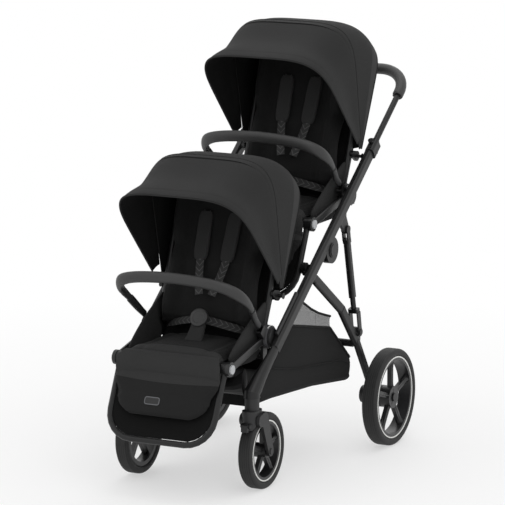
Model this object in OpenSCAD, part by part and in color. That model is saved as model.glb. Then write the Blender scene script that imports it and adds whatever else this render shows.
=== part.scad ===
// Tandem stroller: two like seats that face forward, one low in front and one high behind,
// on one folding chassis with swivelling front wheels.
// Y grows to the rear, Z grows upwards. Side-view points are pairs [y, z], measured from a
// plane 95 mm behind the front casters' swivel line, and the whole is then centred on Y = 0.

/* [Wheels] */
// Radius of a rear tyre
rear_wheel_r = 145; // [138:1:152]
// Width of a rear tyre
rear_wheel_w = 47.5; // [42:0.5:50]
// Distance between the middles of the rear wheels
rear_track = 603; // [590:1:640]
// Radius of a front tyre
front_wheel_r = 110.5; // [104:0.5:114]
// Width of a front tyre
front_wheel_w = 42; // [38:0.5:44]
// Distance between the front swivel axes
front_track = 396; // [386:1:410]
// Distance that a front wheel trails behind its swivel axis
caster_trail = 58; // [50:1:62]
// Height of tyre between rim and tread
tyre_h = 22; // [18:1:26]
// Radius of a wheel's axle pin
axle_r = 6; // [5:0.5:8]

/* [Chassis] */
// Distance from the front swivel axes back to the rear axle
wheelbase = 695; // [680:1:710]
// Distance between the middles of the main tubes
frame_w = 424; // [422:1:450]
// Slope of the main tubes
tube_slope = 37.1; // [36.5:0.1:38]
// Thickness of a main tube from side to side
tube_w = 22; // [18:1:24]
// Depth of a main tube in side view
tube_h = 35; // [30:1:38]
// Radius of the handle's round telescopic tubes
handle_tube_r = 9; // [8:0.5:9.5]
// Radius of the fold hinge's round housing
hinge_r = 39; // [34:1:42]
// Depth of a rear leg in side view
leg_h = 30; // [24:1:34]
// Depth of a strut in side view
strut_h = 22; // [18:1:26]

/* [Handle] */
// Distance along the tube from the fold hinge to the collar of the handle
collar_s = 409; // [395:1:425]
// Distance along the tube from the collar to the handle's crossbar
handle_reach = 307; // [290:1:320]
// Bend radius of the handle's corners
handle_bend = 92; // [70:1:110]
// Thickness of the handle's grip
grip_d = 33; // [29:1:36]

/* [Seats] */
// Distance that the rear seat stands behind the front seat
seat_step_y = 521; // [515:1:530]
// Height that the rear seat stands above the front seat
seat_step_z = 327; // [320:1:335]
// Height of the front seat's hub above the floor
seat_hub_z = 425; // [420:1:432]
// Angle of the backrest from level
back_angle = 70; // [68:0.5:74]
// Length of the backrest from its hub
back_len = 470; // [440:1:480]
// Half the width of the backrest and leg rest tubes, to their middles
seat_tube_x = 166; // [160:1:166]
// Thickness of the seat's round tubes
seat_tube_d = 18; // [14:1:19]
// Depth of the seat in front of its hub
seat_depth = 230; // [220:1:236]
// Length of the leg rest
calf_len = 228; // [205:1:232]
// Angle of the leg rest below level
calf_angle = 65; // [62:0.5:68]
// Thickness of the seat cushion
seat_pad_t = 28; // [22:1:32]
// Thickness of the backrest cushion at its middle
back_pad_t = 30; // [22:1:36]
// Height of the backrest cushion's side wings
wing_t = 46; // [30:1:54]
// Thickness of the bumper bar
bumper_d = 34; // [28:1:36]

/* [Canopies] */
// Half the width over a canopy's rear panel
canopy_x = 192; // [188:0.5:192]
// Distance from the top of the backrest's tube to the canopy above it
canopy_over = 53.5; // [46:0.5:58]
// Distance that the canopy's front rim reaches out beyond its top
rim_out = 40; // [30:1:46]
// Thickness of the canopy's shell
canopy_t = 2.6; // [2:0.1:3]

/* [Basket] */
// Half the width of the basket
basket_x = 186; // [170:1:190]
// Thickness of the basket's wall
basket_t = 3; // [2:0.5:4]

/* [Hidden] */
$fn = 48;

// running clearance of a pin in its bore, and the gap between faces that slide past
fit = 0.05;
gap = 0.5;
bare = 0.3;

// middle of the whole stroller, from front rim to handle, seen from the side
mid_y = 319.6;
swivel_y = -95;
swivel_x = front_track / 2;
front_axle = [swivel_y + caster_trail, front_wheel_r];
rear_axle = [swivel_y + wheelbase, rear_wheel_r];
tube_x = frame_w / 2;
tube_in = tube_x - tube_w / 2;
tube_out = tube_x + tube_w / 2;
up = [cos(tube_slope), sin(tube_slope)];
across = [-sin(tube_slope), cos(tube_slope)];
// foot of the straight main tube, and a point s along it and n above its middle line
tube_foot = [20, 392.8];
function on_tube(s, n = 0) = tube_foot + s * up + n * across;
// pivots seen from the side: fold hinge, strut ends and the rear leg's pivot
hinge_s = 419;
hinge_drop = 31;
hinge = on_tube(hinge_s, -hinge_drop);
strut_top = on_tube(533, -64);
leg_pivot = on_tube(307, 0);
strut_foot = rear_axle + [-55, 200];
leg_knee = rear_axle + [-60, 172];
leg_in = tube_in - 17;
leg_out = tube_in - 1.5;
lug_x = tube_x + 6;
// the handle above the collar on the sleeve
handle_s = hinge_s + collar_s + handle_reach;
grip_s = handle_s - handle_bend - 18;
handle_end_s = hinge_s + collar_s - 150;
collar_l = 46;
// seats: hubs, faces from inside to outside
front_seat = [33, seat_hub_z];
rear_seat = front_seat + [seat_step_y, seat_step_z];
hub_r = 34;
plate_in = seat_tube_x + seat_tube_d / 2 + gap;
plate_out = plate_in + 10;
hub_out = tube_in - 8.6;
tongue_in = hub_out - 6.7;
knee = [-seat_depth, -50];
pad_z = -42.5;
back_dir = [cos(back_angle), sin(back_angle)];
back_out = [sin(back_angle), -cos(back_angle)];
calf_dir = [-cos(calf_angle), -sin(calf_angle)];
calf_out = [-sin(calf_angle), cos(calf_angle)];
pivot = [67, 107];
canopy_lug_r = 15;
// reach of the canopy from its pivot, at its top and at its front rim
canopy_r = norm(back_len * back_dir - pivot) + canopy_over;
rim_r = canopy_r + rim_out;
// angles of the canopy's rear edge, seam and front rim, seen from the pivot
rear_edge_a = 64;
seam_a = 103;
lap_a = 99;
rim_a = 133.7;
front_shell_x = canopy_x + canopy_t + 1.2;

black = [0.11, 0.11, 0.115];
plastic = [0.15, 0.15, 0.155];
rubber = [0.09, 0.09, 0.09];
fabric = [0.21, 0.21, 0.213];
lining = [0.13, 0.13, 0.132];
leather = [0.14, 0.14, 0.142];
grey = [0.62, 0.63, 0.64];
white = [0.86, 0.86, 0.86];

// Moves a piece from side-view coordinates to the stroller's centre
module placed() { translate([0, -mid_y, 0]) children(); }
module at(p) { translate([0, p[0], p[1]]) children(); }
// A child drawn on the left is drawn again on the right
module both() { children(); mirror([1, 0, 0]) children(); }
module on_side(s) { if (s > 0) children(); else mirror([1, 0, 0]) children(); }
// A cylinder across the stroller, from x0 to x1
module cross_pin(r, x0, x1) { translate([x0, 0, 0]) rotate([0, 90, 0]) cylinder(r = r, h = x1 - x0); }
// A rectangle with round corners, built from squares and circles
module round_rect(w, h, r) {
    square([w - 2 * r, h], center = true);
    square([w, h - 2 * r], center = true);
    for (sx = [-1, 1], sy = [-1, 1]) translate([sx * (w / 2 - r), sy * (h / 2 - r)]) circle(r);
}
// A straight bar of flat section from 3-D point p to q, w across the stroller and h deep
module flat_bar(p, q, w, h, r) {
    d = q - p;
    slope = atan2(d[2], d[1]);
    splay = asin(d[0] / norm(d));
    translate(p) rotate([slope - 90, 0, 0]) rotate([0, splay, 0])
        linear_extrude(norm(d)) round_rect(w, h, r);
}
// Points of a tube's outline in the plane of the side view
function side3(x, p) = [x, p[0], p[1]];
function unit(v) = v / norm(v);
function tangent(p, i) = unit(p[min(i + 1, len(p) - 1)] - p[max(i - 1, 0)]);
// Ring of n points round path point i: w wide along the normal, h deep across it
function ring(p, i, nrm, w, h, n) =
    let (t = tangent(p, i), a = unit(nrm - t * (nrm * t)), b = cross(t, a))
    [for (k = [0:n - 1]) p[i] + a * (w / 2 * cos(360 * k / n)) + b * (h / 2 * sin(360 * k / n))];
// Six times the volume that triangles close in, to tell which way they face
function volume6(pts, tris) = let (v = [for (t = tris) cross(pts[t[0]], pts[t[1]]) * pts[t[2]]])
    v * [for (t = tris) 1];
module solid(pts, tris) {
    inward = volume6(pts, tris) > 0;
    polyhedron(pts, inward ? [for (t = tris) [t[2], t[1], t[0]]] : tris);
}
function wall(m, n) = [for (j = [0:m - 2], i = [0:n - 1])
    let (a = j * n + i, b = j * n + (i + 1) % n) each [[a, b, a + n], [b, b + n, a + n]]];
function fan(first, n) = [for (k = [1:n - 2]) [first, first + k, first + k + 1]];
// A solid through rings of the same number of points
module loft(rings) {
    m = len(rings);
    n = len(rings[0]);
    back = [for (t = fan(0, n)) [t[2], t[1], t[0]]];
    solid([for (r = rings) each r], concat(wall(m, n), back, fan((m - 1) * n, n)));
}
// A tube of flat-round section along a path
module swept(p, nrm, w, h, n = 12) {
    loft([for (i = [0:len(p) - 1]) ring(p, i, nrm, w, h, n)]);
}
// A sleeve along a path, from radii ri to ro
module sleeve(p, nrm, ro, ri, n = 14) {
    m = len(p);
    outer = [for (i = [0:m - 1]) each ring(p, i, nrm, 2 * ro, 2 * ro, n)];
    inner = [for (i = [0:m - 1]) each ring(p, i, nrm, 2 * ri, 2 * ri, n)];
    far = m * n;
    caps = [for (k = [0:n - 1]) let (l = (k + 1) % n, e = far - n, g = 2 * far - n) each
        [[k, far + k, l], [l, far + k, far + l], [e + k, e + l, g + k], [e + l, g + l, g + k]]];
    inside = [for (t = wall(m, n)) [t[2] + far, t[1] + far, t[0] + far]];
    solid(concat(outer, inner), concat(wall(m, n), inside, caps));
}
// A thick sheet between two grids of points
module sheet(a, b) {
    m = len(a);
    n = len(a[0]);
    far = m * n;
    top = [for (j = [0:m - 2], i = [0:n - 2]) let (k = j * n + i)
        each [[k, k + 1, k + n], [k + 1, k + n + 1, k + n]]];
    low = [for (t = top) [t[2] + far, t[1] + far, t[0] + far]];
    sides = [for (j = [0:m - 2]) let (k = j * n, e = k + n - 1) each
        [[k, k + n, k + far], [k + n, k + n + far, k + far],
         [e, e + far, e + n], [e + n, e + far, e + n + far]]];
    ends = [for (i = [0:n - 2]) let (k = i, e = (m - 1) * n + i) each
        [[k, k + far, k + 1], [k + 1, k + far, k + 1 + far],
         [e, e + 1, e + far], [e + 1, e + 1 + far, e + far]]];
    solid([for (r = concat(a, b)) each r], concat(top, low, sides, ends));
}
// Points of a quarter bend in the plane of u and v, round centre c
function bend(c, u, v, r, steps) = [for (k = [0:steps]) c + u * r * cos(90 * k / steps)
    + v * r * sin(90 * k / steps)];
// A path on the left, joined to its own copy on the right
function mirrored(p) = concat(p, [for (k = [len(p) - 1:-1:0]) [-p[k][0], p[k][1], p[k][2]]]);

// Wheels. A wheel is drawn about the X axis and then put on its axle.
module tyre(r, w, x, p) {
    color(rubber) at(p) translate([x, 0, 0]) rotate([0, 90, 0]) rotate_extrude($fn = 96)
        translate([r - tyre_h / 2, 0]) round_rect(tyre_h, w, 9.5);
}
module rim(r, w, x, p, hub_w, slots) {
    rim_o = r - tyre_h;
    hub_o = slots > 0 ? 33 : 21;
    color(black) at(p) translate([x, 0, 0]) {
        rotate([0, 90, 0]) difference() {
            union() {
                rotate_extrude($fn = 96) translate([rim_o - 6, 0]) square([12, w - 9], center = true);
                cylinder(r = hub_o, h = hub_w, center = true);
                for (k = [0:4]) rotate([0, 0, 72 * k + 36])
                    translate([(rim_o + 8) / 2, 0, 4]) cube([rim_o - 18, 15, 13], center = true);
            }
            cylinder(r = axle_r + fit, h = hub_w + 2, center = true);
            for (k = [1:slots]) rotate([0, 0, 360 / max(slots, 1) * k])
                translate([25, 0, -hub_w / 2 - 1]) cylinder(r = 4.6, h = 9, $fn = 24);
        }
    }
}
// Thin pale ring between rim and tyre, proud of the rim's outer face
module trim_ring(r, w, x, p) {
    color(white) at(p) translate([x + w / 2 - 4.5, 0, 0]) rotate([0, 90, 0]) rotate_extrude($fn = 96)
        translate([r - tyre_h - 4, 0]) square([3.6, 1.5]);
}
rear_hub_w = 32;
module rear_tyre(s) { on_side(s) tyre(rear_wheel_r, rear_wheel_w, rear_track / 2, rear_axle); }
module rear_rim(s) {
    on_side(s) {
        rim(rear_wheel_r, rear_wheel_w, rear_track / 2, rear_axle, rear_hub_w, 12);
        trim_ring(rear_wheel_r, rear_wheel_w, rear_track / 2, rear_axle);
    }
}
module front_tyre(s) { on_side(s) tyre(front_wheel_r, front_wheel_w, swivel_x, front_axle); }
module front_rim(s) {
    on_side(s) {
        rim(front_wheel_r, front_wheel_w, swivel_x, front_axle, front_wheel_w, 0);
        trim_ring(front_wheel_r, front_wheel_w, swivel_x, front_axle);
    }
}

// Front casters: a block on the stem's pin, two arms and a short guard over the tyre
stem_z = 275;
block_top = 240;
block_z = front_wheel_r + 70;
stem_pin_r = 8;
module caster_fork(s) {
    arm_in = front_wheel_w / 2 + 2;
    arm_t = 9;
    color(plastic) on_side(s) translate([swivel_x, 0, 0]) {
        difference() {
            union() {
                translate([0, swivel_y, block_top - 1]) cylinder(r = 21, h = stem_z - block_top + 1 - gap);
                hull() for (y = [swivel_y - 12, swivel_y + 12])
                    translate([0, y, block_z + 46]) cylinder(r = 23, h = block_top - block_z - 46, $fn = 32);
                hull() for (y = [swivel_y - 12, swivel_y + 6])
                    translate([0, y, block_z + 6]) cylinder(r = 22, h = 44, $fn = 32);
                for (x = [-15, 11.5]) at(lock_pin) {
                    cross_pin(6, x, x + 3.5);
                    translate([x, 0, -6]) cube([3.5, 14, 12]);
                }
                for (side = [-1, 1]) translate([side > 0 ? arm_in : -arm_in - arm_t, 0, 0]) {
                    hull() {
                        at(front_axle) cross_pin(15, 0, arm_t);
                        at([swivel_y + 20, block_z + 32]) cross_pin(20, 0, arm_t);
                    }
                    hull() {
                        at([swivel_y + 20, block_z + 32]) cross_pin(20, 0, arm_t);
                        at([swivel_y, block_z + 30]) cross_pin(18, 0, arm_t);
                    }
                }
            }
            translate([0, swivel_y, 0]) cylinder(r = stem_pin_r + fit, h = stem_z + 1);
            at(lock_pin) cross_pin(3 + fit, -20, 20);
            at(lock_pin) cross_pin(8, -11.5, 11.5);
            at(lock_pin) translate([-11.5, -14, -18]) cube([23, 14, 30]);
            at(front_axle) cross_pin(front_wheel_r + 4, -front_wheel_w / 2 - 1.5, front_wheel_w / 2 + 1.5);
        }
        at(front_axle) {
            cross_pin(axle_r, -arm_in - arm_t + 1, arm_in + arm_t - 1);
            cross_pin(9, arm_in + arm_t, arm_in + arm_t + 2);
            cross_pin(9, -arm_in - arm_t - 2, -arm_in - arm_t);
        }
    }
}
lock_pin = [swivel_y - 38.5, block_z + 20];
module swivel_lock(s) {
    color(plastic) on_side(s) translate([swivel_x, 0, 0]) {
        at(lock_pin) cross_pin(4, -11, 11);
        at(lock_pin) cross_pin(3, -15, 15);
        at(lock_pin) translate([0, -7, -6]) cube([20, 9, 20], center = true);
    }
}

// Chassis below the fold hinge
module lower_tubes() {
    top = on_tube(hinge_s, 0);
    low = [swivel_x, swivel_y, stem_z];
    color(black) both() {
        difference() {
            flat_bar(side3(tube_x, tube_foot), side3(tube_x, top), tube_w, tube_h, 8);
            at(hinge) cross_pin(hinge_r + bare, tube_x, tube_out + 1);
        }
        // round root of the hinge, and the pin that the upper tube turns on
        difference() {
            at(hinge) cross_pin(hinge_r, tube_in, tube_x - bare);
            at(hinge) cross_pin(14, tube_in - 1, tube_in + 3);
        }
        at(hinge) cross_pin(10, tube_x - 2, tube_out - 6);
        at(leg_pivot) cross_pin(8, leg_in - 3, tube_in);
        at(leg_pivot) cross_pin(12, leg_in - 6, leg_in - 3 + bare);
        lower_bend();
        translate([swivel_x, swivel_y, block_top - 30])
            cylinder(r = stem_pin_r, h = stem_z - block_top + 36);
    }
}
// The tube's lower end sweeps forward and down into the caster's stem
module lower_bend() {
    path = [side3(tube_x, tube_foot), side3(tube_x - 1, tube_foot + [-30, -21]),
        side3(tube_x - 3, tube_foot + [-58, -43]), side3(tube_x - 7, tube_foot + [-84, -68]),
        side3(swivel_x + 3, tube_foot + [-104, -92]), side3(swivel_x, [swivel_y, stem_z + 14]),
        side3(swivel_x, [swivel_y, stem_z])];
    wide = [tube_w, tube_w + 3, tube_w + 8, tube_w + 14, tube_w + 20, 46, 46];
    deep = [tube_h, tube_h + 2, tube_h + 6, tube_h + 10, tube_h + 14, 52, 52];
    loft([for (i = [0:6]) ring(path, i, [1, 0, 0], wide[i], deep[i], 20)]);
}
module front_crossbar() {
    xs = [0, 60, 110, 145, swivel_x - 24 + bare];
    tops = [0, 1, 6, 16, 40];
    half = [for (k = [0:4]) let (x = xs[k], h = 36 + tops[k], c = stem_z + 4 + h / 2)
        [for (a = [0:15]) [x, swivel_y + 17 * cos(22.5 * a), c + h / 2 * sin(22.5 * a)]]];
    color(black) loft(concat([for (k = [4:-1:1]) [for (p = half[k]) [-p[0], p[1], p[2]]]], half));
}

// Chassis above the fold hinge
module upper_tubes() {
    lug_in = tube_x - 5;
    color(black) both() difference() {
        union() {
            difference() {
                flat_bar(side3(tube_x, on_tube(hinge_s + gap)), side3(tube_x, on_tube(hinge_s + collar_s)),
                    tube_w, tube_h, 8);
                at(hinge) cross_pin(hinge_r + bare, tube_in - 1, tube_x + bare);
            }
            at(hinge) cross_pin(hinge_r, tube_x + bare, tube_out);
            // collar over the sleeve's end, with a round boss behind
            on_sleeve(collar_s) {
                translate([2.5, 0, -collar_l]) linear_extrude(collar_l)
                    round_rect(tube_w + 5, tube_h + 5, 9);
                translate([0, 0, -1]) cylinder(r = handle_tube_r + 2, h = 11);
                translate([0, -tube_h / 2, -16]) rotate([90, 0, 0]) cylinder(r = 8, h = 11);
            }
            // lug that carries the strut
            hull() {
                at(strut_top) cross_pin(13, lug_in, lug_in + 10, $fn = 32);
                for (s = [92, 134])
                    at(on_tube(hinge_s + s, 4 - tube_h / 2)) cross_pin(2, lug_in, lug_in + 10, $fn = 32);
            }
        }
        on_sleeve(collar_s) {
            translate([0, 0, handle_end_s - hinge_s - collar_s - 84])
                cylinder(r = handle_tube_r + bare, h = 400);
            translate([0, tube_h / 2 - 4, -16]) rotate([-90, 0, 0]) cylinder(r = 7 + bare, h = 20);
        }
        at(hinge) cross_pin(10 + fit, tube_x - 1, tube_out + 1);
        at(hinge) cross_pin(22 + bare, tube_out - 5, tube_out + 1);
        at(strut_top) cross_pin(6 + fit, tube_x - 9, tube_x + 9);
    }
}
// Turns a child so that its Z runs up the left tube, s above the fold hinge
module on_sleeve(s) {
    translate(side3(tube_x, on_tube(hinge_s + s))) rotate([tube_slope - 90, 0, 0]) children();
}
module height_button(s) {
    color(plastic) on_side(s) on_sleeve(collar_s) translate([0, tube_h / 2, -16]) rotate([-90, 0, 0]) {
        translate([0, 0, -0.5]) cylinder(r = 7, h = 8.5);
        translate([0, 0, 6]) cylinder(r = 8.5, h = 4);
    }
}
module fold_button(s) {
    color(plastic) on_side(s) at(hinge) {
        cross_pin(22, tube_out - 1.6, tube_out + 3);
        cross_pin(18, tube_out + 3, tube_out + 5);
    }
}
// Handle: a round tube bent to a U, with a leather sleeve over its upper part
handle_x = tube_x - handle_bend;
function handle_path(s0) =
    let (u = [1, 0, 0], v = side3(0, up), c = side3(handle_x, on_tube(handle_s - handle_bend)))
    mirrored(concat([side3(tube_x, on_tube(s0))], bend(c, u, v, handle_bend, 7),
        [c + v * handle_bend + [-handle_x * 0.55, 0, 0]]));
module handle_tube() {
    thick = 2 * handle_tube_r - 0.4;
    color(black) swept(handle_path(grip_s), [0, -up[1], up[0]], thick, thick, 16);
    color(black) both() translate(side3(tube_x, on_tube(handle_end_s)))
        rotate([tube_slope - 90, 0, 0]) cylinder(r = handle_tube_r, h = grip_s - handle_end_s + 3);
}
module handle_grip() {
    color(leather) sleeve(handle_path(grip_s), [0, -up[1], up[0]], grip_d / 2, handle_tube_r + bare, 16);
}

// Rear legs, their struts, the tube that joins them and the axles
module rear_legs() {
    top = side3((leg_in + leg_out) / 2, leg_pivot);
    mid = side3(lug_x - 6, strut_foot + [-90, 84]);
    knee3 = side3(lug_x + 2, leg_knee);
    foot = side3(foot_x, rear_axle);
    away = unit(mid - top);
    color(black) both() {
        difference() {
            union() {
                flat_bar(top - 18 * away, top + 60 * away, leg_out - leg_in, leg_h - 4, 6);
                at(leg_pivot) cross_pin(leg_h / 2 + 2, leg_in, leg_out);
                at(leg_pivot + [-14, 13]) cross_pin(leg_h / 2 - 3, leg_in, leg_out);
            }
            at(leg_pivot) cross_pin(8 + fit, leg_in - 1, leg_out + 1);
        }
        flat_bar(top + 58 * away, mid, 15, leg_h, 6);
        flat_bar(mid, knee3, 17, leg_h, 6);
        flat_bar(knee3 + [0, 0, 4], foot + [0, -4, 24], 18, leg_h - 6, 7);
        // casting that holds the strut's foot
        hull() {
            at(strut_foot) cross_pin(15, lug_x - 8, lug_x + 8, $fn = 32);
            at(leg_knee + [2, 4]) cross_pin(17, lug_x - 8, lug_x + 8, $fn = 32);
        }
    }
}
module rear_crossbar() {
    bar = leg_knee + [4, -8];
    color(black) at(bar) cross_pin(11, -lug_x + 8 + bare, lug_x - 8 - bare);
}
module struts() {
    from = side3(tube_x, strut_top);
    to = side3(lug_x, strut_foot);
    along = unit(to - from);
    elbow = from + along * 34;
    joint = from + along * (norm(to - from) * 0.66);
    tip = to - along * 66;
    color(black) both() {
        for (x = [tube_x - 10, tube_x + 5 + gap]) {
            at(strut_top) cross_pin(12, x, x + 4.5);
            flat_bar([x + 2.25, from[1], from[2]], [x + 2.25, elbow[1], elbow[2]], 4.5, strut_h - 2, 1.5);
        }
        flat_bar(elbow - along * 4, elbow + along * 8, 20.5, strut_h, 4);
        at(strut_top) cross_pin(6, tube_x - 10, tube_x + 10);
        flat_bar(elbow + along * 5, joint, 18, strut_h, 6);
        translate(joint) rotate([atan2(along[2], along[1]) - 90, 0, 0]) rotate([0, asin(along[0]), 0])
            translate([0, 0, -5]) cylinder(r = 8, h = norm(tip - joint));
        flat_bar(tip - along * 8, tip + along * 4, 31, strut_h, 4);
        for (x = [lug_x - 15.5, lug_x + 11]) {
            flat_bar([x + 2.25, tip[1], tip[2]] + along * 3, [x + 2.25, to[1], to[2]], 4.5, strut_h, 1.5);
            at(strut_foot) cross_pin(13, x, x + 4.5);
        }
        at(strut_foot) cross_pin(9, lug_x + 15, lug_x + 18);
    }
}
rear_face = rear_track / 2 - rear_hub_w / 2 - gap;
axle_in = rear_face - 70;
foot_x = rear_face - 39;
module rear_axles() {
    // ears on the right housing that hold the brake pedal
    color(plastic) mirror([1, 0, 0]) for (x = [axle_in + 20, axle_in + 49.5]) difference() {
        hull() {
            at(brake_axis) cross_pin(8, x, x + 3.5, $fn = 32);
            at(rear_axle + [22, 12]) cross_pin(8, x, x + 3.5, $fn = 32);
        }
        at(brake_axis) cross_pin(4 + fit, x - 1, x + 5);
    }
    color(plastic) both() at(rear_axle) {
        difference() {
            union() {
                cross_pin(33, axle_in + 20, rear_face - 1);
                cross_pin(26, axle_in, axle_in + 20);
                cross_pin(axle_r, rear_face - 1, rear_track / 2 + rear_hub_w / 2 + 3);
            }
            translate([0, 0, -25]) cross_pin(4, rear_face - 20, rear_face);
            translate([foot_x - 12, -25, 10]) cube([21.4, 42, 60]);
        }
        cross_pin(13, rear_track / 2 + rear_hub_w / 2 + 1.5, rear_track / 2 + rear_hub_w / 2 + 5);
    }
}
module brake_pin(s) {
    color(grey) on_side(s) at(rear_axle + [0, -25]) cross_pin(3.9, rear_face - 17, rear_face - 0.6);
}
brake_axis = rear_axle + [38, 14];
module brake_pedal() {
    color(plastic) mirror([1, 0, 0]) at(brake_axis) {
        cross_pin(7, axle_in + 24, axle_in + 49);
        cross_pin(4, axle_in + 20, axle_in + 53);
        translate([axle_in + 24, 0, -3]) cube([25, 46, 7]);
        translate([axle_in + 18, 40, -5]) cube([36, 26, 10]);
    }
}

// Basket between the tubes and legs
basket_cut = 345;
basket_side = [[-52, 236], [75, 233], [basket_cut, 214], [rear_axle[0] - 30, 186],
    [rear_axle[0] - 22, 258], [rear_axle[0] - 159, 375], [182, 430], [105, 392], [40, 340], [-52, 300]];
module basket_shell() {
    inset = basket_t;
    lifts = [[inset, inset], [0, inset], [0, inset], [-inset, inset], [-inset, 60], [-inset, 60],
        [0, 60], [0, 60], [0, 60], [inset, 60]];
    inside = basket_side + lifts;
    rotate([90, 0, 90]) difference() {
        translate([0, 0, -basket_x]) linear_extrude(2 * basket_x) polygon(basket_side);
        translate([0, 0, -basket_x + inset]) linear_extrude(2 * (basket_x - inset)) polygon(inside);
    }
}
// The front part keeps its form; the cloth behind basket_cut creases when the chassis folds
module basket() {
    color(fabric) intersection() {
        basket_shell();
        translate([-300, -100, 0]) cube([600, basket_cut + 100, 600]);
    }
    // tabs that hang its sides on the main tubes
    color(fabric) both() translate([basket_x - basket_t, 95, 380])
        cube([tube_in - bare - basket_x + basket_t, 20, 68]);
}
module basket_rear() {
    color(fabric) intersection() {
        basket_shell();
        translate([-300, basket_cut + bare, 0]) cube([600, 300, 600]);
    }
}

// Adapters: a plate on each main tube and a tongue that the seat drops over
module adapters(seat) {
    color(plastic) both() at(seat) {
        cross_pin(26, hub_out + gap, tube_in - bare);
        translate([hub_out + gap, -12, -26]) cube([tube_in - bare - hub_out - gap, 24, 50]);
        translate([tongue_in + bare, -11, -30]) cube([hub_out - tongue_in + 2 * gap, 22, 46]);
    }
}
module front_adapters() {
    adapters(front_seat);
    // strip on top of the main tube
    strip_n = tube_h / 2 + bare + 6;
    color(plastic) both() flat_bar(side3(tube_x - 2, on_tube(36, strip_n)),
        side3(tube_x - 2, on_tube(196, strip_n)), 10, 12, 3);
}
module rear_adapters() { adapters(rear_seat); }

// One seat, drawn from its hub
module in_seat(k) { at(k == 0 ? front_seat : rear_seat) children(); }
bumper_dir = [-0.71, 0.704];
bumper_foot = [-42, 22];
module seat_frame(k) {
    color(black) in_seat(k) {
        both() {
            difference() {
                cross_pin(hub_r, plate_in, hub_out);
                translate([tongue_in, -11 - bare, -60]) cube([20, 22 + 2 * bare, 76 + bare]);
                cross_pin(9 + fit, plate_in - 1, plate_in + 5);
            }
            difference() {
                union() {
                    flat_bar(side3(plate_in + 5, knee * 0.12), side3(plate_in + 5, knee), 9.4, 24, 4);
                    at(knee) cross_pin(21, plate_in, plate_out);
                }
                at(knee) cross_pin(13 + bare, plate_in + 1.5, plate_out + 1);
            }
            at(knee) cross_pin(7, 128, plate_in + 1);
            at(bumper_foot + 6 * bumper_dir) socket();
        }
        at(knee) cross_pin(6, -128, 128);
        at([-20, -58]) cross_pin(7, -plate_in - 2, plate_in + 2);
        // pan below the cushion, carried by the arms
        translate([-seat_tube_x + 16, -seat_depth + 18, pad_z - 9])
            cube([2 * seat_tube_x - 32, seat_depth + 4, 8.7]);
        translate([-seat_tube_x + 26, -seat_depth + 50, pad_z - 30])
            cube([2 * seat_tube_x - 52, seat_depth - 44, 22]);
        both() {
            translate([seat_tube_x - 17, -seat_depth + 26, pad_z - 9])
                cube([plate_in - seat_tube_x + 18, 18, 8.7]);
            translate([plate_in + 1, -32, -64]) cube([8, 24, 44]);
        }
    }
}
// A socket on the hub that holds one end of the bumper bar
module socket() {
    rotate([atan2(bumper_dir[1], bumper_dir[0]) - 90, 0, 0]) difference() {
        translate([plate_in, -14, -22]) cube([hub_out - plate_in, 28, 30]);
        translate([plate_in + 2, -9, -8]) cube([hub_out - plate_in - 4, 18, 30]);
    }
}
module back_frame(k) {
    c = side3(seat_tube_x - 70, (back_len - 70) * back_dir);
    path = mirrored(concat([side3(seat_tube_x, 26 * back_dir)],
        bend(c, [1, 0, 0], side3(0, back_dir), 70, 6)));
    color(black) in_seat(k) {
        swept(path, side3(0, back_out), seat_tube_d, seat_tube_d, 12);
        both() {
            cross_pin(hub_r - 6, plate_in - gap - 17, plate_in - gap);
            cross_pin(9, plate_in - gap, plate_in + 4);
            hull() {
                at(pivot) cross_pin(canopy_lug_r, plate_in, plate_in + 8, $fn = 32);
                at(124 * back_dir) cross_pin(10, plate_in, plate_in + 8, $fn = 32);
            }
            at(124 * back_dir) cross_pin(5, seat_tube_x, plate_in + 1);
            at(pivot) cross_pin(5, plate_in + 7, front_shell_x + canopy_t + 1.4);
            at(pivot) cross_pin(9, front_shell_x + canopy_t + bare, front_shell_x + canopy_t + 1.4);
        }
        at(0.62 * back_len * back_dir) cross_pin(6, -seat_tube_x + 6, seat_tube_x - 6);
    }
}
// Handle at the back of the backrest's top that frees the recline lock
lever_pos = (back_len - 4) * back_dir + (seat_tube_d / 2 + bare) * back_out;
module recline_lever(k) {
    color(grey) in_seat(k) at(lever_pos) {
        rotate([back_angle - 90, 0, 0]) {
            translate([-42, 0, -16]) cube([84, 9, 22]);
            translate([-30, 9, -16]) cube([60, 6, 8]);
        }
    }
}

// Cushions. Each is a grid of points over its length and width, with a front and a back.
function smooth(t) = let (c = max(0, min(1, t))) c * c * (3 - 2 * c);
function dent(x, at_x, w) = exp(-pow((x - at_x) / w, 2));
// Draws in the ends and the sides of a cushion; u and v run from -1 to 1
function rounding(u, v) = pow(1 - pow(abs(u), 6), 0.45) * pow(1 - pow(abs(v), 8), 0.45);
function span(n) = [for (i = [0:n]) let (t = 2 * i / n - 1) sin(90 * t) * 0.5 + t * 0.5];
module seat_pad(k) {
    hw = seat_tube_x - 14;
    y0 = -seat_depth - 14;
    y1 = 14;
    grid = [for (v = span(11)) [for (u = span(18)) [u, v]]];
    function y_of(v) = (y0 + y1) / 2 + (y1 - y0) / 2 * v;
    function drawn(v) = hw - 5 + 5 * v * v;
    function crown(u, v) = seat_pad_t * (0.78 + 0.22 * (1 - u * u)) - 6 * dent(y_of(v), -120, 7)
        - 6 * dent(abs(u * hw), 96, 8) + 5 * dent(y_of(v), -215, 26);
    top = [for (r = grid) [for (g = r) [g[0] * drawn(g[1]), y_of(g[1]),
        pad_z + 2.7 + crown(g[0], g[1]) * max(0.2, rounding(g[0], g[1]))]]];
    low = [for (r = grid) [for (g = r) [g[0] * (drawn(g[1]) - 3), y_of(g[1] * 0.985), pad_z]]];
    color(fabric) in_seat(k) sheet(top, low);
}
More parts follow.
